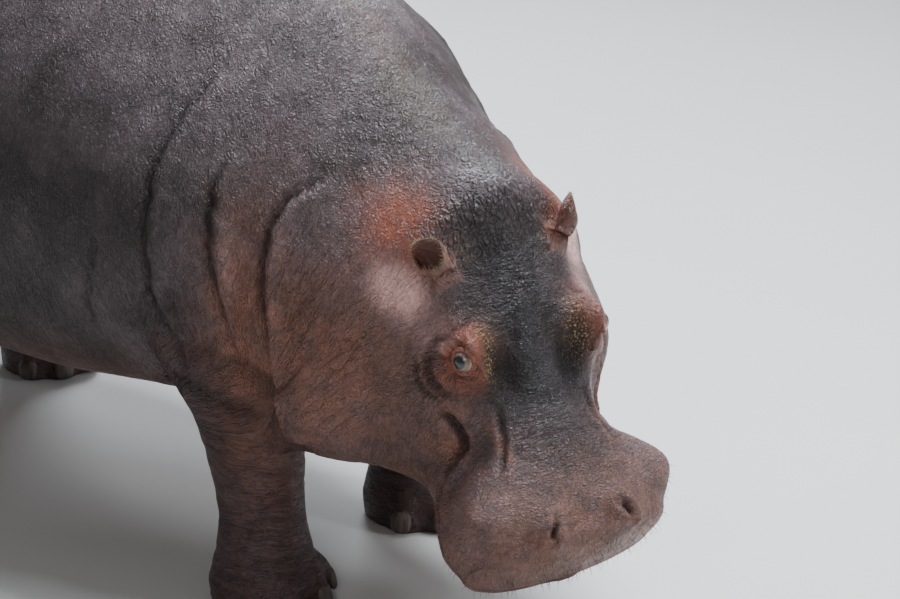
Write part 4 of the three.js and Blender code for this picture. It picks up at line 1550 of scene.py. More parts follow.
@dataclass
class Skin:
    """The whole animal's skin in one piece.

    Attributes:
        barrel: The form that it covers.
        barrel_map: The flat map's place for the barrel.
        slot: Its slot in the record; not used.
        lay_rings: Rings over which the body's wrinkle distances give way to a limb's own.
        sliver: Height on the flat map of the triangles that close a limb.
        join_rounds: How many points deep the softening round a join is.
        join_falloff: How much of it is left from each point to the next.
        join_strength: How far its points move to their neighbours' mean each time.
        small_share: How much of that is left round ears and eyes.
        least: Points that would move less than this share stay.
        relax_rounds: How many times they move.
        sheet: The surface while it is put together.
        holes: Where limbs leave the barrel.
        lay: The barrel's wrinkle distances.
        ids: Indices of the barrel's points.
        crease_shading: How strongly painted shade darkens each point: in folds, in wrinkles and in the fold
            round the lids.
    """

    barrel: Barrel = field(default_factory=Barrel)
    barrel_map: MapPatch = MapPatch(0.005, 0.005, 0.990, 0.785)
    slot: str = "hide"
    lay_rings: int = 8
    sliver: float = 0.002
    join_rounds: int = 5
    join_falloff: float = 0.78
    join_strength: float = 0.55
    small_share: float = 0.35
    least: float = 0.3
    relax_rounds: int = 14
    sheet: Sheet = field(default_factory=Sheet)
    holes: list[Hole] = field(default_factory=list)
    lay: Array | None = None
    ids: Array | None = None
    crease_shading: Array | None = None

    def barrel_lay(self, grid: Array) -> Array:
        """Distances for the wrinkles: along the barrel, round it from the top, and sideways.

        Args:
            grid: The straight barrel, rows by columns by 3.

        Returns:
            Three distances for each point.
        """
        top = self.barrel.columns // 2
        steps = np.linalg.norm(np.diff(grid, axis=1, append=grid[:, :1]), axis=-1)
        travelled = np.cumsum(steps, axis=1) - steps
        around = np.abs(travelled - travelled[:, top : top + 1])
        spine = np.linalg.norm(np.diff(grid.mean(axis=1), axis=0, prepend=grid.mean(axis=1)[:1]), axis=-1)
        along = np.broadcast_to(np.cumsum(spine)[:, None], around.shape)
        return np.stack([along, around, grid[..., 1]], axis=-1)

    def add_limb(
        self, hole: Hole, posed: Pair, straight: Pair, part: Part, progress: Array, box: MapPatch
    ) -> None:
        """Joins a limb's rings to the edge of its hole and closes the last of them to a point.

        Args:
            hole: The hole in the barrel's grid.
            posed: The limb's rings and its end in the model's frame.
            straight: The same on the straight animal.
            part: Which region they belong to.
            progress: One value for each ring or point, and after them the end's.
            box: The limb's place on the flat map.
        """
        self.holes.append(hole)
        (rings, end), (straight_rings, straight_end) = posed, straight
        edge_lay = hole.edge(self.lay)
        own = limb_lay(straight_rings) * (EAR_STRETCH if part is Part.EAR else LIMB_STRETCH)
        share = np.clip(np.arange(1, len(rings) + 1) / self.lay_rings, 0, 1)[:, None, None]
        level = edge_lay.mean(axis=0) - own[0].mean(axis=0)
        lay = edge_lay * (1 - share) + (own + level) * share
        spread = np.reshape(progress[:-1], (len(rings), -1))
        added = self.sheet.add_points(rings, straight_rings, part, lay, spread)
        whole = np.concatenate([hole.edge(self.ids)[None], added])
        flat = box.spread(whole.shape[1] + 1, len(whole)).transpose(1, 0, 2)
        self.sheet.add_strips(whole, flat)
        last = np.max(progress[-1])
        middle = self.sheet.add_points(end[None], straight_end[None], part, limb_lay(straight_end), last)[0]
        flat = box.spread(whole.shape[1] + 1, 2)[:, 1]
        self.sheet.add_fan(whole[-1], middle, flat, (flat[1:] + flat[:-1]) / 2 + [0, self.sliver])

    def add_bent_limb(
        self, hole: Hole, rings: Array, end: Array, part: Part, progress: Array, box: MapPatch
    ) -> None:
        """Does the same for a limb of the straight animal that follows the neck's bend."""
        self.add_limb(hole, (POSE.bend(rings), POSE.bend(end)), (rings, end), part, progress, box)

    def build_limbs(self, straight: Array, posed: Array) -> None:
        """Grows the legs, the ears, the lids and the tail from the barrel.

        Args:
            straight: The straight barrel.
            posed: The same in the model's frame.
        """
        legs_map = [MapPatch(0.005 + 0.215 * index, 0.800, 0.205, 0.185) for index in range(4)]
        small_map = [MapPatch(0.870, 0.800 + 0.038 * index, 0.120, 0.031) for index in range(5)]
        for leg, box in zip(LEGS, legs_map):
            hole = leg.hole(posed)
            rings, progress = leg.rings(hole.edge(posed))
            limb = rings, rings[-1].mean(axis=0)
            unbent = tuple(places - POSE.shift() for places in limb)
            self.add_limb(hole, limb, unbent, Part.LEG, [*progress, 1.0], box)
        for ear, box in zip(EARS, small_map):
            hole = hole_at(straight, ear.frame()[0], ear.half_hole, ear.half_hole)
            rings, progress = ear.rings(hole.edge(straight))
            self.add_bent_limb(hole, rings, rings[-1].mean(axis=0), Part.EAR, [*progress, IN_CUP], box)
        for eye, box in zip(EYES, small_map[2:]):
            middle, _, _, out = eye.frame()
            hole = hole_at(straight, middle + out * eye.radius * 1.6, eye.half_hole, eye.half_hole)
            rings, progress = eye.rings(hole.edge(straight), straight)
            under = np.full(progress.shape[1], UNDER_LID)
            self.add_bent_limb(hole, rings, middle, Part.LID, np.vstack([progress, under]), box)
        tail = Tail()
        hole = hole_at(straight, tail.place(), tail.half_hole, tail.half_hole)
        rings, progress = tail.rings(hole.edge(straight))
        self.add_bent_limb(hole, rings, tail.end(), Part.TAIL, [*progress, 1.0], small_map[4])

    def build_sheet(self) -> None:
        """Makes the barrel, grows every limb from it, and closes its two poles."""
        straight = self.barrel.grid()
        posed = POSE.bend(straight)
        self.lay = self.barrel_lay(straight)
        self.ids = self.sheet.add_points(posed, straight, Part.BARREL, self.lay)
        self.build_limbs(straight, posed)
        keep = np.ones((len(self.ids) - 3, self.barrel.columns), bool)
        for hole in self.holes:
            keep[hole.first_row - 1 : hole.last_row - 1, hole.first_column : hole.last_column] = False
        flat = self.barrel_map.spread(len(self.ids), self.barrel.columns + 1)
        self.sheet.add_closed(self.ids[1:-1], self.ids[[0, -1], 0], flat, keep)
        self.sheet.close()

    def soften_joins(self) -> None:
        """Rounds off the lines where limbs leave the body, most at the line itself."""
        sheet = self.sheet
        first, second = sheet.edges.T
        crossing = (sheet.parts[first] == Part.BARREL) != (sheet.parts[second] == Part.BARREL)
        near = np.zeros(sheet.total)
        near[np.concatenate([first[crossing], second[crossing]])] = 1.0
        for _ in range(self.join_rounds):
            wider = near.copy()
            np.maximum.at(wider, first, self.join_falloff * near[second])
            np.maximum.at(wider, second, self.join_falloff * near[first])
            near = wider
        small = np.isin(sheet.parts, [Part.EAR, Part.LID])
        near = near * np.where(small, self.small_share, 1.0)
        strength = np.where(near > self.least, self.join_strength * near, 0.0)
        sheet.relax(strength, self.relax_rounds)

    def fold_field(self, folds: tuple[Fold, ...]) -> Pair:
        """How far folds move the skin along its normal, and how strongly painted shade darkens each point.

        Each fold's path is first moved onto the skin's own nearest points. Across it, the crease
        is a bell curve inward and the roll a wider one outward.

        Args:
            folds: The folds.

        Returns:
            The movement, and the strength from 0 to 1 of the painted shade along each crease, for every
            point.
        """
        straight = self.sheet.straight
        moved, painted_crease_shade = np.zeros(self.sheet.total), np.zeros(self.sheet.total)
        for fold in folds:
            for side, strength in zip((1, -1), fold.strength):
                path = fold.places(side)
                fine = through(path, np.linspace(0, len(path) - 1, 6 * len(path)))
                nearest = [np.argmin(((straight - place) ** 2).sum(axis=1)) for place in fine]
                on_skin = straight[nearest]
                away, ahead = distance_to_path(straight, on_skin)
                start, end = (np.linalg.norm(straight - on_skin[tip], axis=1) for tip in (0, -1))
                taper = smoothstep(start, 0, fold.fade)
                if np.abs(path[-1, 1]) > 0.01:
                    taper = taper * smoothstep(end, 0, fold.fade)
                crease = furrows(away, fold.width) * taper * strength
                beside = furrows(away, ROLL_REACH * fold.width) * taper * strength
                uneven = 1 + fold.lead * np.tanh(ahead / fold.width)
                moved += fold.roll * (beside * uneven - crease) - fold.depth * crease
                painted_crease_shade = np.maximum(painted_crease_shade, crease)
        return moved, painted_crease_shade

    def wrinkle_field(self) -> Pair:
        """Wrinkles along the lie of the skin, and warts on the crown.

        Furrows follow the zero lines of a noise that is stretched round the body, closer and
        deeper on the neck and face than on the trunk. Warts are the peaks of a round noise.

        Returns:
            The movement, and the strength from 0 to 1 of the painted shade along the furrows, for every
            point.
        """
        sheet, straight = self.sheet, self.sheet.straight
        wander = np.stack([value_noise(straight * 9, 3), value_noise(straight * 9, 4)], axis=1)
        place = sheet.lay.copy()
        place[:, :2] += 0.012 * wander
        neck = smoothstep(straight[:, 0], -1.3, -0.7)
        face = smoothstep(straight[:, 0], -0.34, -0.16)
        wide, middling, across = (kind.lines(place) for kind in (WIDE, MIDDLING, ACROSS))
        crown, lines = patch_strength(straight, WARTS), patch_strength(straight, LINES)
        warts = np.clip(value_noise(straight * 55, 23), 0, 1)
        moved = -WIDE.depth * wide * (0.5 + neck) * (1 - 0.6 * face)
        moved -= MIDDLING.depth * middling * neck * (1 - 0.4 * face)
        moved += 0.0050 * crown * warts - ACROSS.depth * across * (lines + 0.4 * crown)
        moved += 0.0035 * layered_noise(straight * 5.5, 41) * (1 - face)
        # Painted shade: how strongly the colour is darkened along the furrows.
        painted_crease_shade = WIDE.painted_shade * wide * (0.4 + neck) + MIDDLING.painted_shade * middling * neck
        painted_crease_shade = np.clip(painted_crease_shade + ACROSS.painted_shade * across * lines, 0, 1)
        sole = (sheet.parts == Part.LEG) & (straight[:, 2] < 0.012)
        strength = np.where(sole | np.isin(sheet.parts, [Part.EAR, Part.LID]), 0.0, 1.0)
        return moved * strength, painted_crease_shade * strength

    def cover_eyes(self) -> None:
        """Lifts skin that would lie inside an eyeball to the lids' thickness above it."""
        sheet = self.sheet
        over = (sheet.parts == Part.BARREL) | ((sheet.parts == Part.LID) & (sheet.progress < 0.999))
        for eye in EYES:
            offset = sheet.points - POSE.bend(eye.frame()[0])
            away = np.linalg.norm(offset, axis=1)
            lift = np.where(over, np.maximum(eye.radius + eye.lid_thickness - away, 0), 0)
            lift = np.where(away < 2 * eye.radius, lift, 0)
            sheet.points = sheet.points + offset / np.maximum(away, 1e-6)[:, None] * lift[:, None]

    def dress_form(self) -> None:
        """Pushes folds and wrinkles into the form, keeping the soles flat on the floor."""
        sheet = self.sheet
        folds, deep = self.fold_field(NECK_FOLDS + LEG_FOLDS + FACE_FOLDS)
        wrinkles, fine = self.wrinkle_field()
        soft = np.where(sheet.parts == Part.LID, 0.3, np.where(sheet.parts == Part.EAR, 0.0, 1.0))
        gristle = 0.0014 * layered_noise(sheet.straight * 42, 61, 2) * (sheet.parts == Part.EAR)
        sheet.points = sheet.points + sheet.normals() * ((folds * soft + wrinkles + gristle)[:, None])
        sheet.points[:, 2] = np.maximum(sheet.points[:, 2], 0.0)
        self.cover_eyes()
        # Painted shade: the folds, the wrinkles and the fold round the lids darken the colour by these
        # strengths.
        lid_fold = (sheet.parts == Part.LID) * bell(sheet.progress, 0.50, 0.07)
        self.crease_shading = np.clip(deep + 0.5 * fine + 0.7 * lid_fold, 0, 1)

    def marks(self) -> Array:
        """Rose, rust, dark (with painted shade in the brow hollows and on the flank) and damp strengths at
        every point, with edges broken up by noise.
        """
        sheet = self.sheet
        straight = sheet.straight
        loose = straight + 0.03 * noise_vectors(straight * 14, (51, 52, 53), 3)
        rose, rust, dark, damp = (patch_strength(loose, group) for group in (ROSE, RUST, DARK_AND_SHADE, DAMP))
        low = smoothstep(straight[:, 2], 0.62, 0.34) * (sheet.parts == Part.BARREL)
        leg, lid, ear = (sheet.parts == part for part in (Part.LEG, Part.LID, Part.EAR))
        cup = ear & (sheet.progress > 1.12)
        lid_rust = np.maximum(rust, smoothstep(sheet.progress, 0.1, 0.9))
        rose = np.where(ear & ~cup, 0.45, np.maximum(rose, 0.45 * low))
        rust = np.select([leg, lid, cup], [0.16, lid_rust, 0.60], rust)
        dark = np.select([leg, cup, ear], [np.maximum(dark, 0.40), 0.40, 0.15], dark)
        return np.clip(np.stack([rose, rust, dark, damp], axis=1), 0, 1)

    def relief(self) -> Array:
        """Strengths of warts, cross lines, pleats and dust at every point."""
        straight = self.sheet.straight
        loose = straight + 0.012 * noise_vectors(straight * 30, (71, 72, 73), 2)
        masks = [patch_strength(loose, group) for group in (WARTS, LINES, PLEATS, DUST)]
        bare = np.isin(self.sheet.parts, [Part.EAR, Part.LEG])
        return np.where(bare[:, None], 0, np.stack(masks, axis=1))

    def flat_places(self) -> Array:
        """Every point's own place on the flat map."""
        flat = np.zeros((self.sheet.total, 2))
        for faces, places in zip(self.sheet.faces, self.sheet.maps):
            flat[faces.ravel()] = places.reshape(-1, 2)
        return flat

    def build(self) -> Piece:
        """Makes the finished skin.

        Returns:
            The skin object, with its map and attributes.
        """
        self.build_sheet()
        self.soften_joins()
        self.dress_form()
        piece = self.sheet.to_object("skin")
        store(piece, "marks", "FLOAT_COLOR", self.marks())
        store(piece, "relief", "FLOAT_COLOR", self.relief())
        store(piece, "lay", "FLOAT_VECTOR", self.sheet.lay)
        # The strength of the painted shade along folds and wrinkles.
        store(piece, "crease", "FLOAT", self.crease_shading)
        # Pale pink below the ears, partly a painted wet highlight.
        store(piece, "pale", "FLOAT", patch_strength(self.sheet.straight, PALE_AND_HIGHLIGHT))
        inner = np.where(self.sheet.parts == Part.LID, smoothstep(self.sheet.progress, 0.88, 1.0), 0.0)
        store(piece, "lid_edge", "FLOAT", inner)
        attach(piece, "root")
        legs = [f"{part}_{leg.name}" for leg in LEGS for part in ("upper_leg", "lower_leg", "foot")]
        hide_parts("trunk", "neck", "head", "lower_jaw", "tail", "ear_left", "ear_right", *legs)
        return piece


# ---- Finishes ----


class Board:
    """A material's nodes, with short ways to add and join them."""

    def __init__(self, name: str) -> None:
        """Starts a material that holds only its shader and output.

        Args:
            name: The material's name.
        """
        self.material = bpy.data.materials.new(name)
        self.material.use_nodes = True
        self.tree = self.material.node_tree
        self.shader = self.tree.nodes["Principled BSDF"]

    def put(self, socket: Socket, value: object) -> None:
        """Joins a socket to another one, or sets it to a value."""
        if isinstance(value, Socket):
            self.tree.links.new(value, socket)
        else:
            socket.default_value = value

    def set(self, **inputs: object) -> None:
        """Feeds the shader's inputs, named with underscores for spaces."""
        for name, value in inputs.items():
            self.put(self.shader.inputs[name.replace("_", " ")], value)

    def node(self, kind: str, inputs: dict, output: object = 0, **settings: object) -> Socket:
        """Adds a node.

        Args:
            kind: What follows ShaderNode in its name.
            inputs: A socket or a value for each input, by name or number.
            output: Name or number of the output that is wanted.
            settings: The node's own properties.

        Returns:
            That output.
        """
        node = self.tree.nodes.new(f"ShaderNode{kind}")
        for name, value in settings.items():
            setattr(node, name, value)
        for key, value in inputs.items():
            self.put(node.inputs[key], value)
        return node.outputs[output]

    def coordinates(self) -> Socket:
        """The place on the object."""
        return self.node("TexCoord", {}, "Object")

    def attribute(self, name: str, output: str = "Vector") -> Socket:
        """A stored attribute: its Vector, Color, Fac or Alpha output."""
        return self.node("Attribute", {}, output, attribute_name=name)

    def split(self, colour: Socket) -> list[Socket]:
        """The three channels of a colour."""
        return list(self.node("SeparateColor", {0: colour}).node.outputs)

    def scaled(self, vector: Socket, along: float, across: float, third: float | None = None) -> Socket:
        """A vector with its axes multiplied, the last two alike unless the third is given."""
        factors = (along, across, across if third is None else third)
        return self.node("VectorMath", {0: vector, 1: factors}, operation="MULTIPLY")

    def shifted(self, vector: Socket, amount: Socket) -> Socket:
        """A vector with one amount added to every axis."""
        return self.node("VectorMath", {0: vector, 1: amount})

    def noise(self, vector: Socket, scale: float, detail: float = 3.0, roughness: float = 0.5) -> Socket:
        """A noise texture's value."""
        inputs = {"Vector": vector, "Scale": scale, "Detail": detail, "Roughness": roughness}
        return self.node("TexNoise", inputs, "Fac")

    def cells(self, vector: Socket, scale: float) -> Socket:
        """A cell texture's distance to the cells' edges."""
        inputs = {"Vector": vector, "Scale": scale}
        return self.node("TexVoronoi", inputs, "Distance", feature="DISTANCE_TO_EDGE")

    def math(self, operation: str, first: object, second: object = 0.0, clamp: bool = False) -> Socket:
        """A math node on two sockets or numbers."""
        return self.node("Math", {0: first, 1: second}, operation=operation, use_clamp=clamp)

    def times(self, first: object, second: object) -> Socket:
        """A product."""
        return self.math("MULTIPLY", first, second)

    def plus(self, first: object, second: object) -> Socket:
        """A sum."""
        return self.math("ADD", first, second)

    def less(self, first: object, second: object) -> Socket:
        """A difference."""
        return self.math("SUBTRACT", first, second)

    def most(self, first: object, *others: object) -> Socket:
        """The greatest of several."""
        for other in others:
            first = self.math("MAXIMUM", first, other)
        return first

    def between(self, value: Socket, low: float, high: float) -> Socket:
        """A smooth rise from 0 at low to 1 at high, or a fall where low is the greater."""
        ends = (0.0, 1.0) if low < high else (1.0, 0.0)
        names = ("From Min", "From Max", "To Min", "To Max")
        inputs = {"Value": value, **dict(zip(names, (min(low, high), max(low, high), *ends)))}
        return self.node("MapRange", inputs, "Result", interpolation_type="SMOOTHSTEP")

    def level_lines(self, value: Socket, width: float) -> Socket:
        """1 along the line where a noise is one half, falling to 0 at a width on each side."""
        return self.between(self.math("ABSOLUTE", self.less(value, 0.5)), width, 0.0)

    def blend(self, share: object, first: object, second: object) -> Socket:
        """A mix of two colours."""
        inputs = {"Factor": share, "A": first, "B": second}
        return self.node("Mix", inputs, "Result", data_type="RGBA")

    def bump(self, height: Socket, distance: float, under: object = None) -> Socket:
        """A bump of a height that ranges from 0 to 1, over another bump or none."""
        below = {} if under is None else {"Normal": under}
        return self.node("Bump", {"Distance": distance, "Height": height, **below}, "Normal")


def tone(red: int, green: int, blue: int) -> Colour:
    """A colour of screen values from 0 to 255, as light."""
    screen = np.array([red, green, blue]) / 255
    light = np.where(screen > 0.04045, ((screen + 0.055) / 1.055) ** 2.4, screen / 12.92)
    return (*light.tolist(), 1.0)


@dataclass(frozen=True)
class HideFinish:
    """Thick bare skin: slate on the back, flesh tones in the folds, painted shade and highlight, a damp
    sheen.

    Attributes:
        slate: The back and flanks.
        dusk: The deeper tone in its mottling.
        rose: Jowls, throat and folds.
        rust: Round the ears and eyes.
        black: Brow, bridge, the cups of the ears, specks, and painted shade in the brow hollows and on the
            flank.
        crease_shade: Painted shade at the bottom of each crease and along fine lines.
        pale: Flesh below the ears, brightened into a painted wet highlight.
        lid: The lids' wet edge.
        dust: Dry specks on the nape and the eye mounds.
    """

    slate: Colour = tone(98, 85, 88)
    dusk: Colour = tone(60, 50, 50)
    rose: Colour = tone(156, 104, 84)
    rust: Colour = tone(158, 86, 62)
    black: Colour = tone(12, 10, 10)
    # The painted shade along each crease and fine line.
    crease_shade: Colour = tone(28, 19, 18)
    pale: Colour = tone(242, 190, 182)
    lid: Colour = tone(150, 100, 82)
    dust: Colour = tone(168, 150, 96)

    def colour(self, board: Board, place: Socket, fine: Socket) -> Socket:
        """Mottled slate with the markings over it, and painted shade along each crease and fine line.

        Args:
            board: The material's nodes.
            place: Where on the object.
            fine: The strength of fine lines there, darkened with painted shade.

        Returns:
            The colour.
        """
        rose, rust, dark = board.split(board.attribute("marks", "Color"))
        patchy = board.between(board.noise(place, 22.0, 5.0, 0.6), 0.3, 0.62)

        def broken(mark: Socket, least: float) -> Socket:
            return board.times(mark, board.plus(least, board.times(patchy, 1 - least)))

        speck = board.between(board.noise(place, 75.0, 3.0), 0.50, 0.70)
        # Painted shade at the bottom of each crease.
        crease = board.between(board.attribute("crease", "Fac"), 0.10, 0.95)
        crumbs = board.between(board.noise(place, 230.0, 2.0), 0.56, 0.62)
        layers = (
            (board.between(board.noise(place, 4.0, 6.0, 0.62), 0.36, 0.66), self.slate),
            (board.times(speck, 0.22), self.black),
            (broken(rose, 0.45), self.rose),
            (broken(rust, 0.50), self.rust),
            # Pale pink below the ears, partly a painted wet highlight.
            (broken(board.attribute("pale", "Fac"), 0.60), self.pale),
            # Dark skin, with painted shade in the brow hollows and on the flank.
            (board.times(dark, 0.95), self.black),
            # Painted shade along fine lines and at the bottom of each crease.
            (board.times(fine, 0.30), self.crease_shade),
            (board.times(crease, 0.55), self.crease_shade),
            (board.times(board.times(crumbs, board.attribute("relief", "Alpha")), 0.9), self.dust),
            (board.attribute("lid_edge", "Fac"), self.lid),
        )
        base = self.dusk
        for share, colour in layers:
            base = board.blend(share, base, colour)
        return base

    def creasing(self, board: Board, lay: Socket) -> tuple[Socket, Socket, Socket]:
        """Fine lines: the level lines of noises drawn out round the body, with fainter ones across.

        Args:
            board: The material's nodes.
            lay: Distances along and round the body.

        Returns:
            Fine lines, the deeper ones of crown, bridge and jowl, and a rolling height, all 0 to 1.
        """
        warts, lines, pleats = board.split(board.attribute("relief", "Color"))
        wander = board.noise(board.coordinates(), 18.0, 2.0)
        loose = board.shifted(lay, board.times(wander, 0.03))
        rolling = board.noise(board.scaled(loose, 1.0, 0.36), 58.0, 4.0, 0.65)
        wide = board.level_lines(rolling, 0.055)
        pebbles = board.between(board.cells(board.scaled(loose, 1.0, 0.46), 150.0), 0.28, 0.0)
        cross = board.level_lines(board.noise(board.scaled(loose, 0.35, 1.0), 74.0, 2.0), 0.045)
        fine = board.most(board.times(wide, 0.85), board.times(pebbles, 0.50), board.times(cross, 0.6))
        cobble = board.between(board.cells(board.scaled(loose, 1.0, 0.70), 74.0), 0.26, 0.0)
        grooved = board.level_lines(board.noise(board.scaled(lay, 1.0, 0.16), 58.0, 3.0, 0.55), 0.085)
        pleated = board.level_lines(board.noise(board.scaled(loose, 1.0, 0.15), 30.0, 2.0), 0.045)
        folded = board.times(pleated, board.times(pleats, 0.6))
        deep = board.most(board.times(cobble, warts), board.times(grooved, lines), folded)
        return fine, board.math("MINIMUM", deep, 1.0), rolling

    def material(self) -> bpy.types.Material:
        """Builds the material."""
        board = Board("hide")
        place = board.coordinates()
        fine, deep, rolling = self.creasing(board, board.attribute("lay"))
        grain = board.noise(place, 210.0, 3.0, 0.6)
        both = board.most(fine, deep)
        damp = board.attribute("marks", "Alpha")
        patchy = board.between(board.noise(place, 11.0, 4.0), 0.35, 0.65)
        wet = board.math("MULTIPLY", board.plus(0.40, damp), board.plus(0.40, patchy), clamp=True)
        rough = board.plus(board.less(0.44, board.times(wet, 0.27)), board.times(both, 0.20))
        eased = board.less(1.0, board.times(damp, 0.4))
        relief = board.bump(rolling, 0.011)
        relief = board.bump(board.less(1.0, deep), 0.0070, relief)
        relief = board.bump(board.less(1.0, board.times(fine, eased)), 0.0030, relief)
        relief = board.bump(grain, 0.0018, relief)
        rough = board.plus(rough, board.times(grain, 0.08))
        board.set(Base_Color=self.colour(board, place, both), Roughness=rough, Normal=relief)
        board.set(Specular_IOR_Level=0.36)
        return board.material


@dataclass(frozen=True)
class EyeFinish:
    """A wet eyeball: a dark pupil, a brown ring and a dull brown-white edge.

    Attributes:
        pupil: Its colour.
        ring: The iris.
        ring_dark: Its streaks and rim.
        white: The ball round it.
    """

    pupil: Colour = tone(26, 26, 33)
    ring: Colour = tone(132, 106, 94)
    ring_dark: Colour = tone(80, 60, 54)
    white: Colour = tone(138, 102, 90)

    def material(self) -> bpy.types.Material:
        """Builds the material, by the stored angle from the gaze and turn about it."""
        board = Board("eye")
        polar = board.attribute("from_gaze", "Fac")
        turn = board.attribute("about_gaze")
        streaks = board.noise(board.scaled(turn, 1.0, 1.0, 0.25), 9.0, 4.0, 0.6)
        iris = board.blend(board.between(streaks, 0.35, 0.65), self.ring_dark, self.ring)
        iris = board.blend(board.times(board.between(polar, 0.66, 0.80), 0.6), iris, self.ring_dark)
        colour = board.blend(board.between(polar, 0.80, 0.90), iris, self.white)
        colour = board.blend(board.between(polar, 0.56, 0.44), colour, self.pupil)
        rough = board.plus(0.16, board.times(streaks, 0.10))
        board.set(Base_Color=colour, Roughness=rough, Normal=board.bump(streaks, 0.0003))
        board.set(Coat_Weight=0.5, Coat_Roughness=0.03)
        return board.material


@dataclass(frozen=True)
class KeratinFinish:
    """Nails and bristles: horn with streaks along it.

    Attributes:
        name: The material's name.
        dark: The deeper tone.
        light: The paler tone.
        roughness: Of the surface.
        streak_scale: How fine the streaks are.
    """

    name: str
    dark: Colour
    light: Colour
    roughness: float = 0.45
    streak_scale: float = 60.0

    def material(self) -> bpy.types.Material:
        """Builds the material."""
        board = Board(self.name)
        drawn_out = board.scaled(board.coordinates(), 1.0, 1.0, 0.15)
        streaks = board.noise(drawn_out, self.streak_scale, 4.0, 0.6)
        colour = board.blend(board.between(streaks, 0.35, 0.68), self.dark, self.light)
        rough = board.plus(self.roughness, board.times(streaks, 0.2))
        board.set(Base_Color=colour, Roughness=rough, Normal=board.bump(streaks, 0.0006))
        return board.material


@dataclass(frozen=True)
class FloorFinish:
    """A plain pale floor with a trace of mottling."""

    pale: Colour = tone(214, 213, 209)
    shade: Colour = tone(204, 203, 200)

    def material(self) -> bpy.types.Material:
        """Builds the material."""
        board = Board("floor")
        mottle = board.noise(board.coordinates(), 1.2, 3.0)
        board.set(Base_Color=board.blend(mottle, self.pale, self.shade), Roughness=0.85)
        return board.material


# ---- Eyes, nails and bristles ----


WHOLE_MAP = MapPatch(0.01, 0.01, 0.98, 0.98)


@dataclass(frozen=True)
class Eyeball:
    """The ball of one eye, with a clear bulge over its iris.

    Attributes:
        eye: Where it lies and how it looks.
        rings: Rings of points from the gaze back.
        columns: Points round each ring.
        bulge: How far the cornea stands out.
        bulge_reach: How far round it spreads, in radians.
    """

    eye: Eye
    rings: int = 48
    columns: int = 72
    bulge: float = 0.0022
    bulge_reach: float = 0.55

    def build(self) -> Piece:
        """Makes the ball as rings about the gaze, each at a polar angle, closed at both ends.

        Returns:
            The eyeball object.
        """
        middle, forward, upward, out = self.eye.frame()
        polar = math.pi * (np.arange(1, self.rings) / self.rings) ** 1.3
        turn = np.arange(self.columns) / self.columns * 2 * math.pi * self.eye.side
        reach = self.eye.radius + self.bulge * bell(polar, 0, self.bulge_reach)
        aside = np.cos(turn)[:, None] * forward + np.sin(turn)[:, None] * upward
        rings = np.cos(polar)[:, None, None] * out + np.sin(polar)[:, None, None] * aside
        points = POSE.bend(middle + reach[:, None, None] * rings)
        front = middle + out * (self.eye.radius + self.bulge)
        poles = POSE.bend(np.stack([front, middle - out * self.eye.radius]))
        sheet = Sheet()
        ids = sheet.add_points(points, points, Part.LID)
        ends = sheet.add_points(poles, poles, Part.LID)
        sheet.add_closed(ids, ends, WHOLE_MAP.spread(self.rings + 1, self.columns + 1))
        sheet.close()
        hand = "left" if self.eye.side > 0 else "right"
        piece = sheet.to_object(f"eyeball_{hand}")
        from_gaze = np.repeat(polar, self.columns)
        store(piece, "from_gaze", "FLOAT", np.concatenate([from_gaze, [0, math.pi]]))
        spokes = np.tile([np.cos(turn), np.sin(turn)], len(polar))
        about_gaze = np.vstack([np.stack([*spokes, from_gaze], axis=1), np.zeros((2, 3))])
        store(piece, "about_gaze", "FLOAT_VECTOR", about_gaze)
        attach(piece, "root")
        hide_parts(f"eye_{hand}")
        return piece


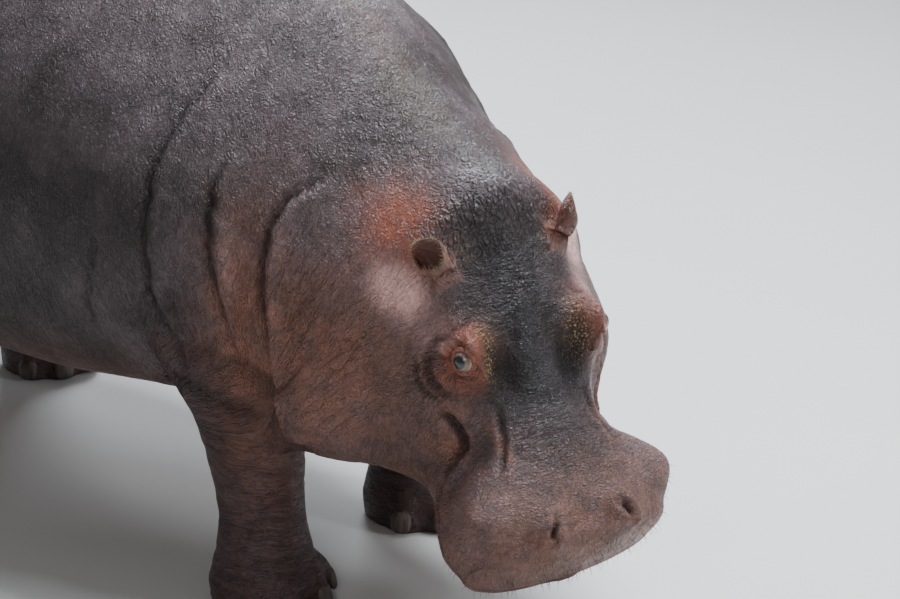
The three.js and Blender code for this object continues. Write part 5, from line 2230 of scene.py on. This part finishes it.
@dataclass(frozen=True)
class Toenails:
    """The four nails of one foot: thick rounded plates set into the toes.

    Attributes:
        leg: The leg that they belong to.
        half_size: Half thickness, half width and half height.
        height: Of their middles.
        proud: How far their middles lie outside the foot.
        lean: Degrees that their faces look up.
        squareness: Of their outline: 2 is an ellipse.
        measured_at: The height at which the foot's size is taken.
        curve: How much their sides fall back, for each metre of half width squared.
        clear: Their least height above the floor.
        rings: Rings of points over each nail.
        columns: Points round each ring.
    """

    leg: Leg
    half_size: Place = (0.011, 0.025, 0.027)
    height: float = 0.033
    proud: float = 0.0165
    lean: float = 12.0
    squareness: float = 2.6
    measured_at: float = 0.060
    curve: float = 5.0
    clear: float = 0.004
    rings: int = 16
    columns: int = 36

    def nail(self, degrees: float) -> Array:
        """One nail: a superellipsoid about the way out of the foot, flatter on its face.

        Args:
            degrees: Where it lies round the foot.

        Returns:
            Its points, rings by columns by 3, from its face inward.
        """
        forward, aside, half_length, half_width = self.leg.section(np.array([self.measured_at]))[0]
        angle = math.radians(degrees)
        out = unit(np.array([math.cos(angle), math.sin(angle), math.tan(math.radians(self.lean))]))
        across = unit(np.cross([0, 0, 1], out))
        up = np.cross(out, across)
        x = forward + (half_length + self.proud) * math.cos(angle)
        y = aside + (half_width + self.proud) * math.sin(angle)
        middle = self.leg.place() + [x, y, self.height]
        polar = math.pi * np.arange(1, self.rings) / self.rings
        turn = 2 * math.pi * np.arange(self.columns) / self.columns
        power = 2 / self.squareness
        depth, width, height = self.half_size
        spread = np.sin(polar)[:, None] ** 0.7
        sideways = width * spread * signed_power(np.cos(turn), power)
        upward = height * spread * signed_power(np.sin(turn), power)
        outward = depth * np.cos(polar)[:, None] - self.curve * sideways**2
        return middle + outward[..., None] * out + sideways[..., None] * across + upward[..., None] * up

    def build(self) -> Piece:
        """Makes the foot's nails as one piece.

        Returns:
            The nails' object.
        """
        sheet = Sheet()
        flat = WHOLE_MAP.spread(self.rings + 1, self.columns + 1)
        for index, degrees in enumerate(self.leg.toe_angles):
            points = self.nail(degrees)
            points[..., 2] = np.maximum(points[..., 2], self.clear)
            ids = sheet.add_points(points, points, Part.LEG)
            poles = points[[0, -1]].mean(axis=1)
            ends = sheet.add_points(poles, poles, Part.LEG)
            sheet.add_closed(ids, ends, flat * [0.24, 1.0] + [0.25 * index, 0.0])
        sheet.close()
        piece = sheet.to_object(f"toenails_{self.leg.name}")
        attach(piece, "root")
        numbers = range(1, len(self.leg.toe_angles) + 1)
        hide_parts(*(f"nail_{self.leg.name}_{number}" for number in numbers))
        return piece


@dataclass(frozen=True)
class Bristles:
    """A scatter of stiff hairs, each a tapering three-sided rod that bends over.

    Attributes:
        name: The piece's name.
        length: Shortest and longest.
        thickness: Radius at the root.
        droop: How far the tips turn towards the lie of the hair.
        bends: Stretches along each hair.
        tapering: Share of the thickness lost at the tip.
        map_size: Size of each hair's place on the flat map.
        end_map_size: The same for the triangles that close its ends.
        end_map_shifts: How far from the root's place those of the root and of the tip lie.
    """

    name: str
    length: Two
    thickness: float
    droop: float
    bends: int = 4
    tapering: float = 0.85
    map_size: float = 0.003
    end_map_size: float = 0.001
    end_map_shifts: Two = (0.0016, -0.0026)

    def build(self, roots: Array, ways: Array, lie: Array, flat: Array, seed: int) -> Piece:
        """Makes the hairs as one piece.

        Each hair's middle line is its root, plus its way times the distance along it, plus the lie
        times the square of that share; its radius falls in a straight line to the tip.

        Args:
            roots: Where they grow.
            ways: The way that each stands.
            lie: The way that each tip is drawn.
            flat: The roots' places on the skin's own map.
            seed: Which random lengths.

        Returns:
            The hairs' object.
        """
        random = np.random.default_rng(seed)
        count = len(roots)
        length = random.uniform(*self.length, count)[:, None, None]
        share = np.linspace(0, 1, self.bends + 1)[None, :, None]
        line = roots[:, None] + ways[:, None] * length * share + lie[:, None] * length * self.droop * share**2
        helper = np.where(np.abs(ways[:, 2:3]) > 0.9, [[1.0, 0, 0]], [[0, 0, 1.0]])
        first = unit(np.cross(ways, helper))
        second = np.cross(ways, first)
        turn = (2 * math.pi * np.arange(3) / 3)[None, :, None]
        circle = first[:, None] * np.cos(turn) + second[:, None] * np.sin(turn)
        radius = self.thickness * (1 - self.tapering * share)
        points = line[:, :, None] + circle[:, None] * radius[..., None]
        ids = np.arange(points[..., 0].size).reshape(points.shape[:-1])
        after = np.roll(ids, -1, axis=2)
        sides = np.stack([ids[:, :-1], after[:, :-1], after[:, 1:], ids[:, 1:]], axis=-1).reshape(-1, 4)
        ends = np.concatenate([ids[:, 0, ::-1], ids[:, -1]])
        corners = np.concatenate([sides.ravel(), ends.ravel()])
        sizes = np.concatenate([np.full(len(sides), 4), np.full(len(ends), 3)])
        box = MapPatch(-self.map_size / 2, -self.map_size / 2, self.map_size, self.map_size)
        patch = flat[:, None, None] + box.spread(self.bends + 1, 4)
        near, far = patch[:, :-1], patch[:, 1:]
        side_map = np.stack([near[:, :, :-1], near[:, :, 1:], far[:, :, 1:], far[:, :, :-1]], axis=-2)
        corner = np.array([[0, 0], [1, 0], [0, 1]]) * self.end_map_size + flat[:, None]
        end_maps = [(corner + shift).reshape(-1, 2) for shift in self.end_map_shifts]
        whole_map = np.concatenate([side_map.reshape(-1, 2), *end_maps])
        piece = mesh_object(self.name, points.reshape(-1, 3), corners, sizes, np.clip(whole_map, 0, 1))
        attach(piece, "root")
        return piece


@dataclass(frozen=True)
class Hair:
    """The animal's few hairs: on the muzzle, round the ears and at the tail's tip.

    Attributes:
        skin: The skin that they grow from.
        muzzle_count: Bristles on the lips and chin.
        fringe_count: Hairs round each ear.
        tail_count: Bristles on the tail.
        spread: How widely they stand about the skin's normals.
    """

    skin: Skin
    muzzle_count: int = 420
    fringe_count: int = 260
    tail_count: int = 130
    spread: float = 0.25

    def scatter(self, kind: Bristles, weight: Array, count: int, lie: Array, seed: int) -> Piece:
        """Grows hairs from points of the skin chosen at random by weight.

        Args:
            kind: The hairs' shape.
            weight: Each skin point's chance.
            count: How many hairs.
            lie: The way that each point's hair is drawn.
            seed: Which random choice.

        Returns:
            The hairs' object.
        """
        random = np.random.default_rng(seed)
        chosen = random.choice(self.skin.sheet.total, count, replace=False, p=weight / weight.sum())
        ways = unit(self.skin.sheet.normals()[chosen] + self.spread * random.normal(size=(count, 3)))
        roots = self.skin.sheet.points[chosen] - ways * kind.thickness
        return kind.build(roots, ways, lie[chosen], self.skin.flat_places()[chosen], seed)

    def build(self) -> list[Piece]:
        """Makes the muzzle's, ears' and tail's hairs, each with its own finish.

        Returns:
            The pieces.
        """
        sheet = self.skin.sheet
        head = POSE.to_head(sheet.straight)
        down = np.broadcast_to([0.0, 0.0, -1.0], (sheet.total, 3))
        lips = bell(head[:, 0], 0.370, 0.085) * smoothstep(head[:, 2], -0.06, -0.16) + 0.1
        lips = lips * smoothstep(head[:, 0], 0.20, 0.28) * (sheet.parts == Part.BARREL)
        whiskers = Bristles("muzzle_bristles", (0.009, 0.018), 0.0007, 0.5)
        pieces = [self.scatter(whiskers, lips, self.muzzle_count, down, 81)]
        for ear, name, seed in zip(EARS, ("ear_fringe_left", "ear_fringe_right"), (82, 83)):
            rim = (sheet.parts == Part.EAR) * bell(sheet.progress, 1.0, 0.12) * (head[:, 1] * ear.side > 0)
            height = np.broadcast_to(POSE.bend(ear.frame()[3]) - POSE.bend(np.zeros(3)), (sheet.total, 3))
            fringe = Bristles(name, (0.004, 0.009), 0.0005, 0.5)
            pieces.append(self.scatter(fringe, rim, self.fringe_count, height, seed))
        end = (sheet.parts == Part.TAIL) * smoothstep(sheet.progress, 0.62, 0.95)
        tuft = Bristles("tail_bristles", (0.030, 0.065), 0.0009, 1.6, 5)
        pieces.append(self.scatter(tuft, end, self.tail_count, down, 84))
        return pieces


# ---- Floor, light and camera ----


@dataclass(frozen=True)
class Lamp:
    """An oblong lamp that faces the animal's head.

    Attributes:
        name: The lamp's name.
        place: Where it hangs.
        size: Its width and height.
        power: In watts.
        colour: Of its light.
        target: Where it points.
    """

    name: str
    place: Place
    size: Two
    power: float
    colour: Place = (0.88, 0.93, 1.0)
    target: Place = (0.5, 0.0, 0.8)

    def hang(self) -> None:
        """Adds it to the scene."""
        light = bpy.data.lights.new(self.name, "AREA")
        light.shape = "RECTANGLE"
        light.size, light.size_y = self.size
        light.energy, light.color = self.power, self.colour
        lamp = bpy.data.objects.new(self.name, light)
        lamp.location = self.place
        aim = Vector(self.target) - Vector(self.place)
        lamp.rotation_euler = aim.to_track_quat("-Z", "Y").to_euler()
        bpy.context.scene.collection.objects.link(lamp)


LAMPS = (
    Lamp("key", (0.5, 1.3, 5.2), (2.4, 2.4), 600.0),
    Lamp("fill", (3.4, -4.0, 3.4), (1.4, 1.4), 40.0, (1.0, 0.98, 0.96)),
    Lamp("rim", (-3.4, 3.4, 3.4), (2.0, 2.0), 260.0, (0.86, 0.92, 1.0)),
    Lamp("sheen", (4.3, 1.3, 4.4), (0.9, 0.5), 110.0),
    Lamp("glint", (5.6, 2.0, 2.1), (0.8, 0.3), 95.0),
)


@dataclass(frozen=True)
class Studio:
    """A pale floor, a soft sky, lamps and a camera.

    Attributes:
        floor_size: Half of the floor's side.
        sky: Brightness of the even light.
        sky_colour: Its colour.
        camera_azimuth: Degrees round from straight ahead of the animal's right side.
        camera_elevation: Degrees above level.
        camera_distance: From the point between the eyes.
        focal_pixels: Focal length in pixels of the image.
        eyes_pixel: Where the point between the eyes falls in the image.
        sensor_width: Of the camera, in millimetres.
        farthest: How far the camera sees.
    """

    floor_size: float = 30.0
    sky: float = 0.25
    sky_colour: Colour = (0.93, 0.96, 1.0, 1.0)
    camera_azimuth: float = 46.0
    camera_elevation: float = 20.0
    camera_distance: float = 7.5
    focal_pixels: float = 3585.0
    eyes_pixel: Two = (533.0, 341.0)
    sensor_width: float = 36.0
    farthest: float = 200.0

    def floor(self) -> None:
        """Lays the floor."""
        side = self.floor_size
        corners = np.array([[-side, -side, 0], [side, -side, 0], [side, side, 0], [-side, side, 0]])
        plane = mesh_object("floor", corners, np.arange(4), np.array([4]), None)
        plane.data.materials.append(FloorFinish().material())

    def light(self) -> None:
        """Lights the sky evenly and hangs the lamps."""
        world = bpy.data.worlds.new("studio")
        world.use_nodes = True
        background = world.node_tree.nodes["Background"]
        background.inputs["Color"].default_value = self.sky_colour
        background.inputs["Strength"].default_value = self.sky
        bpy.context.scene.world = world
        for lamp in LAMPS:
            lamp.hang()

    def camera(self) -> None:
        """Sets the camera so that the point between the eyes falls on its place in the image."""
        azimuth, elevation = math.radians(self.camera_azimuth), math.radians(self.camera_elevation)
        level = np.array([math.sin(azimuth), -math.cos(azimuth), 0.0])
        back = level * math.cos(elevation) + [0.0, 0.0, math.sin(elevation)]
        right = np.array([math.cos(azimuth), math.sin(azimuth), 0.0])
        up = np.cross(back, right)
        eyes = POSE.bend(POSE.eyes())
        per_pixel = self.camera_distance / self.focal_pixels
        aside = (self.eyes_pixel[0] - IMAGE_WIDTH / 2) * per_pixel
        lower = (self.eyes_pixel[1] - IMAGE_HEIGHT / 2) * per_pixel
        place = eyes + back * self.camera_distance - right * aside + up * lower
        data = bpy.data.cameras.new("camera")
        data.sensor_width = self.sensor_width
        data.lens = self.focal_pixels / IMAGE_WIDTH * self.sensor_width
        data.clip_end = self.farthest
        camera = bpy.data.objects.new("camera", data)
        turned = Matrix((right, up, back)).transposed().to_4x4()
        camera.matrix_world = Matrix.Translation(Vector(place)) @ turned
        bpy.context.scene.collection.objects.link(camera)
        bpy.context.scene.camera = camera

    def build(self) -> None:
        """Makes the floor, the lights and the camera."""
        self.floor()
        self.light()
        self.camera()


# ---- The whole model ----


def finish(piece: Piece, material: bpy.types.Material) -> None:
    """Gives a piece its material and logs its name and size."""
    piece.data.materials.append(material)
    log.info("%s: %d faces", piece.name, len(piece.data.polygons))


def main() -> None:
    """Builds the studio, the skin, and the pieces that stay separate from it."""
    logging.basicConfig(level=logging.INFO, format="%(name)s %(message)s")
    Studio().build()
    skin = Skin()
    finish(skin.build(), HideFinish().material())
    wet = EyeFinish().material()
    for eye in EYES:
        finish(Eyeball(eye).build(), wet)
    horn = KeratinFinish("nail", tone(46, 38, 36), tone(92, 78, 70)).material()
    for leg in LEGS:
        finish(Toenails(leg).build(), horn)
    coarse = KeratinFinish("bristle", tone(60, 46, 40), tone(122, 100, 82)).material()
    soft = KeratinFinish("fringe", tone(128, 106, 80), tone(196, 176, 142)).material()
    for hairs in Hair(skin).build():
        finish(hairs, soft if hairs.name.startswith("ear") else coarse)


if __name__ == "__main__":
    main()
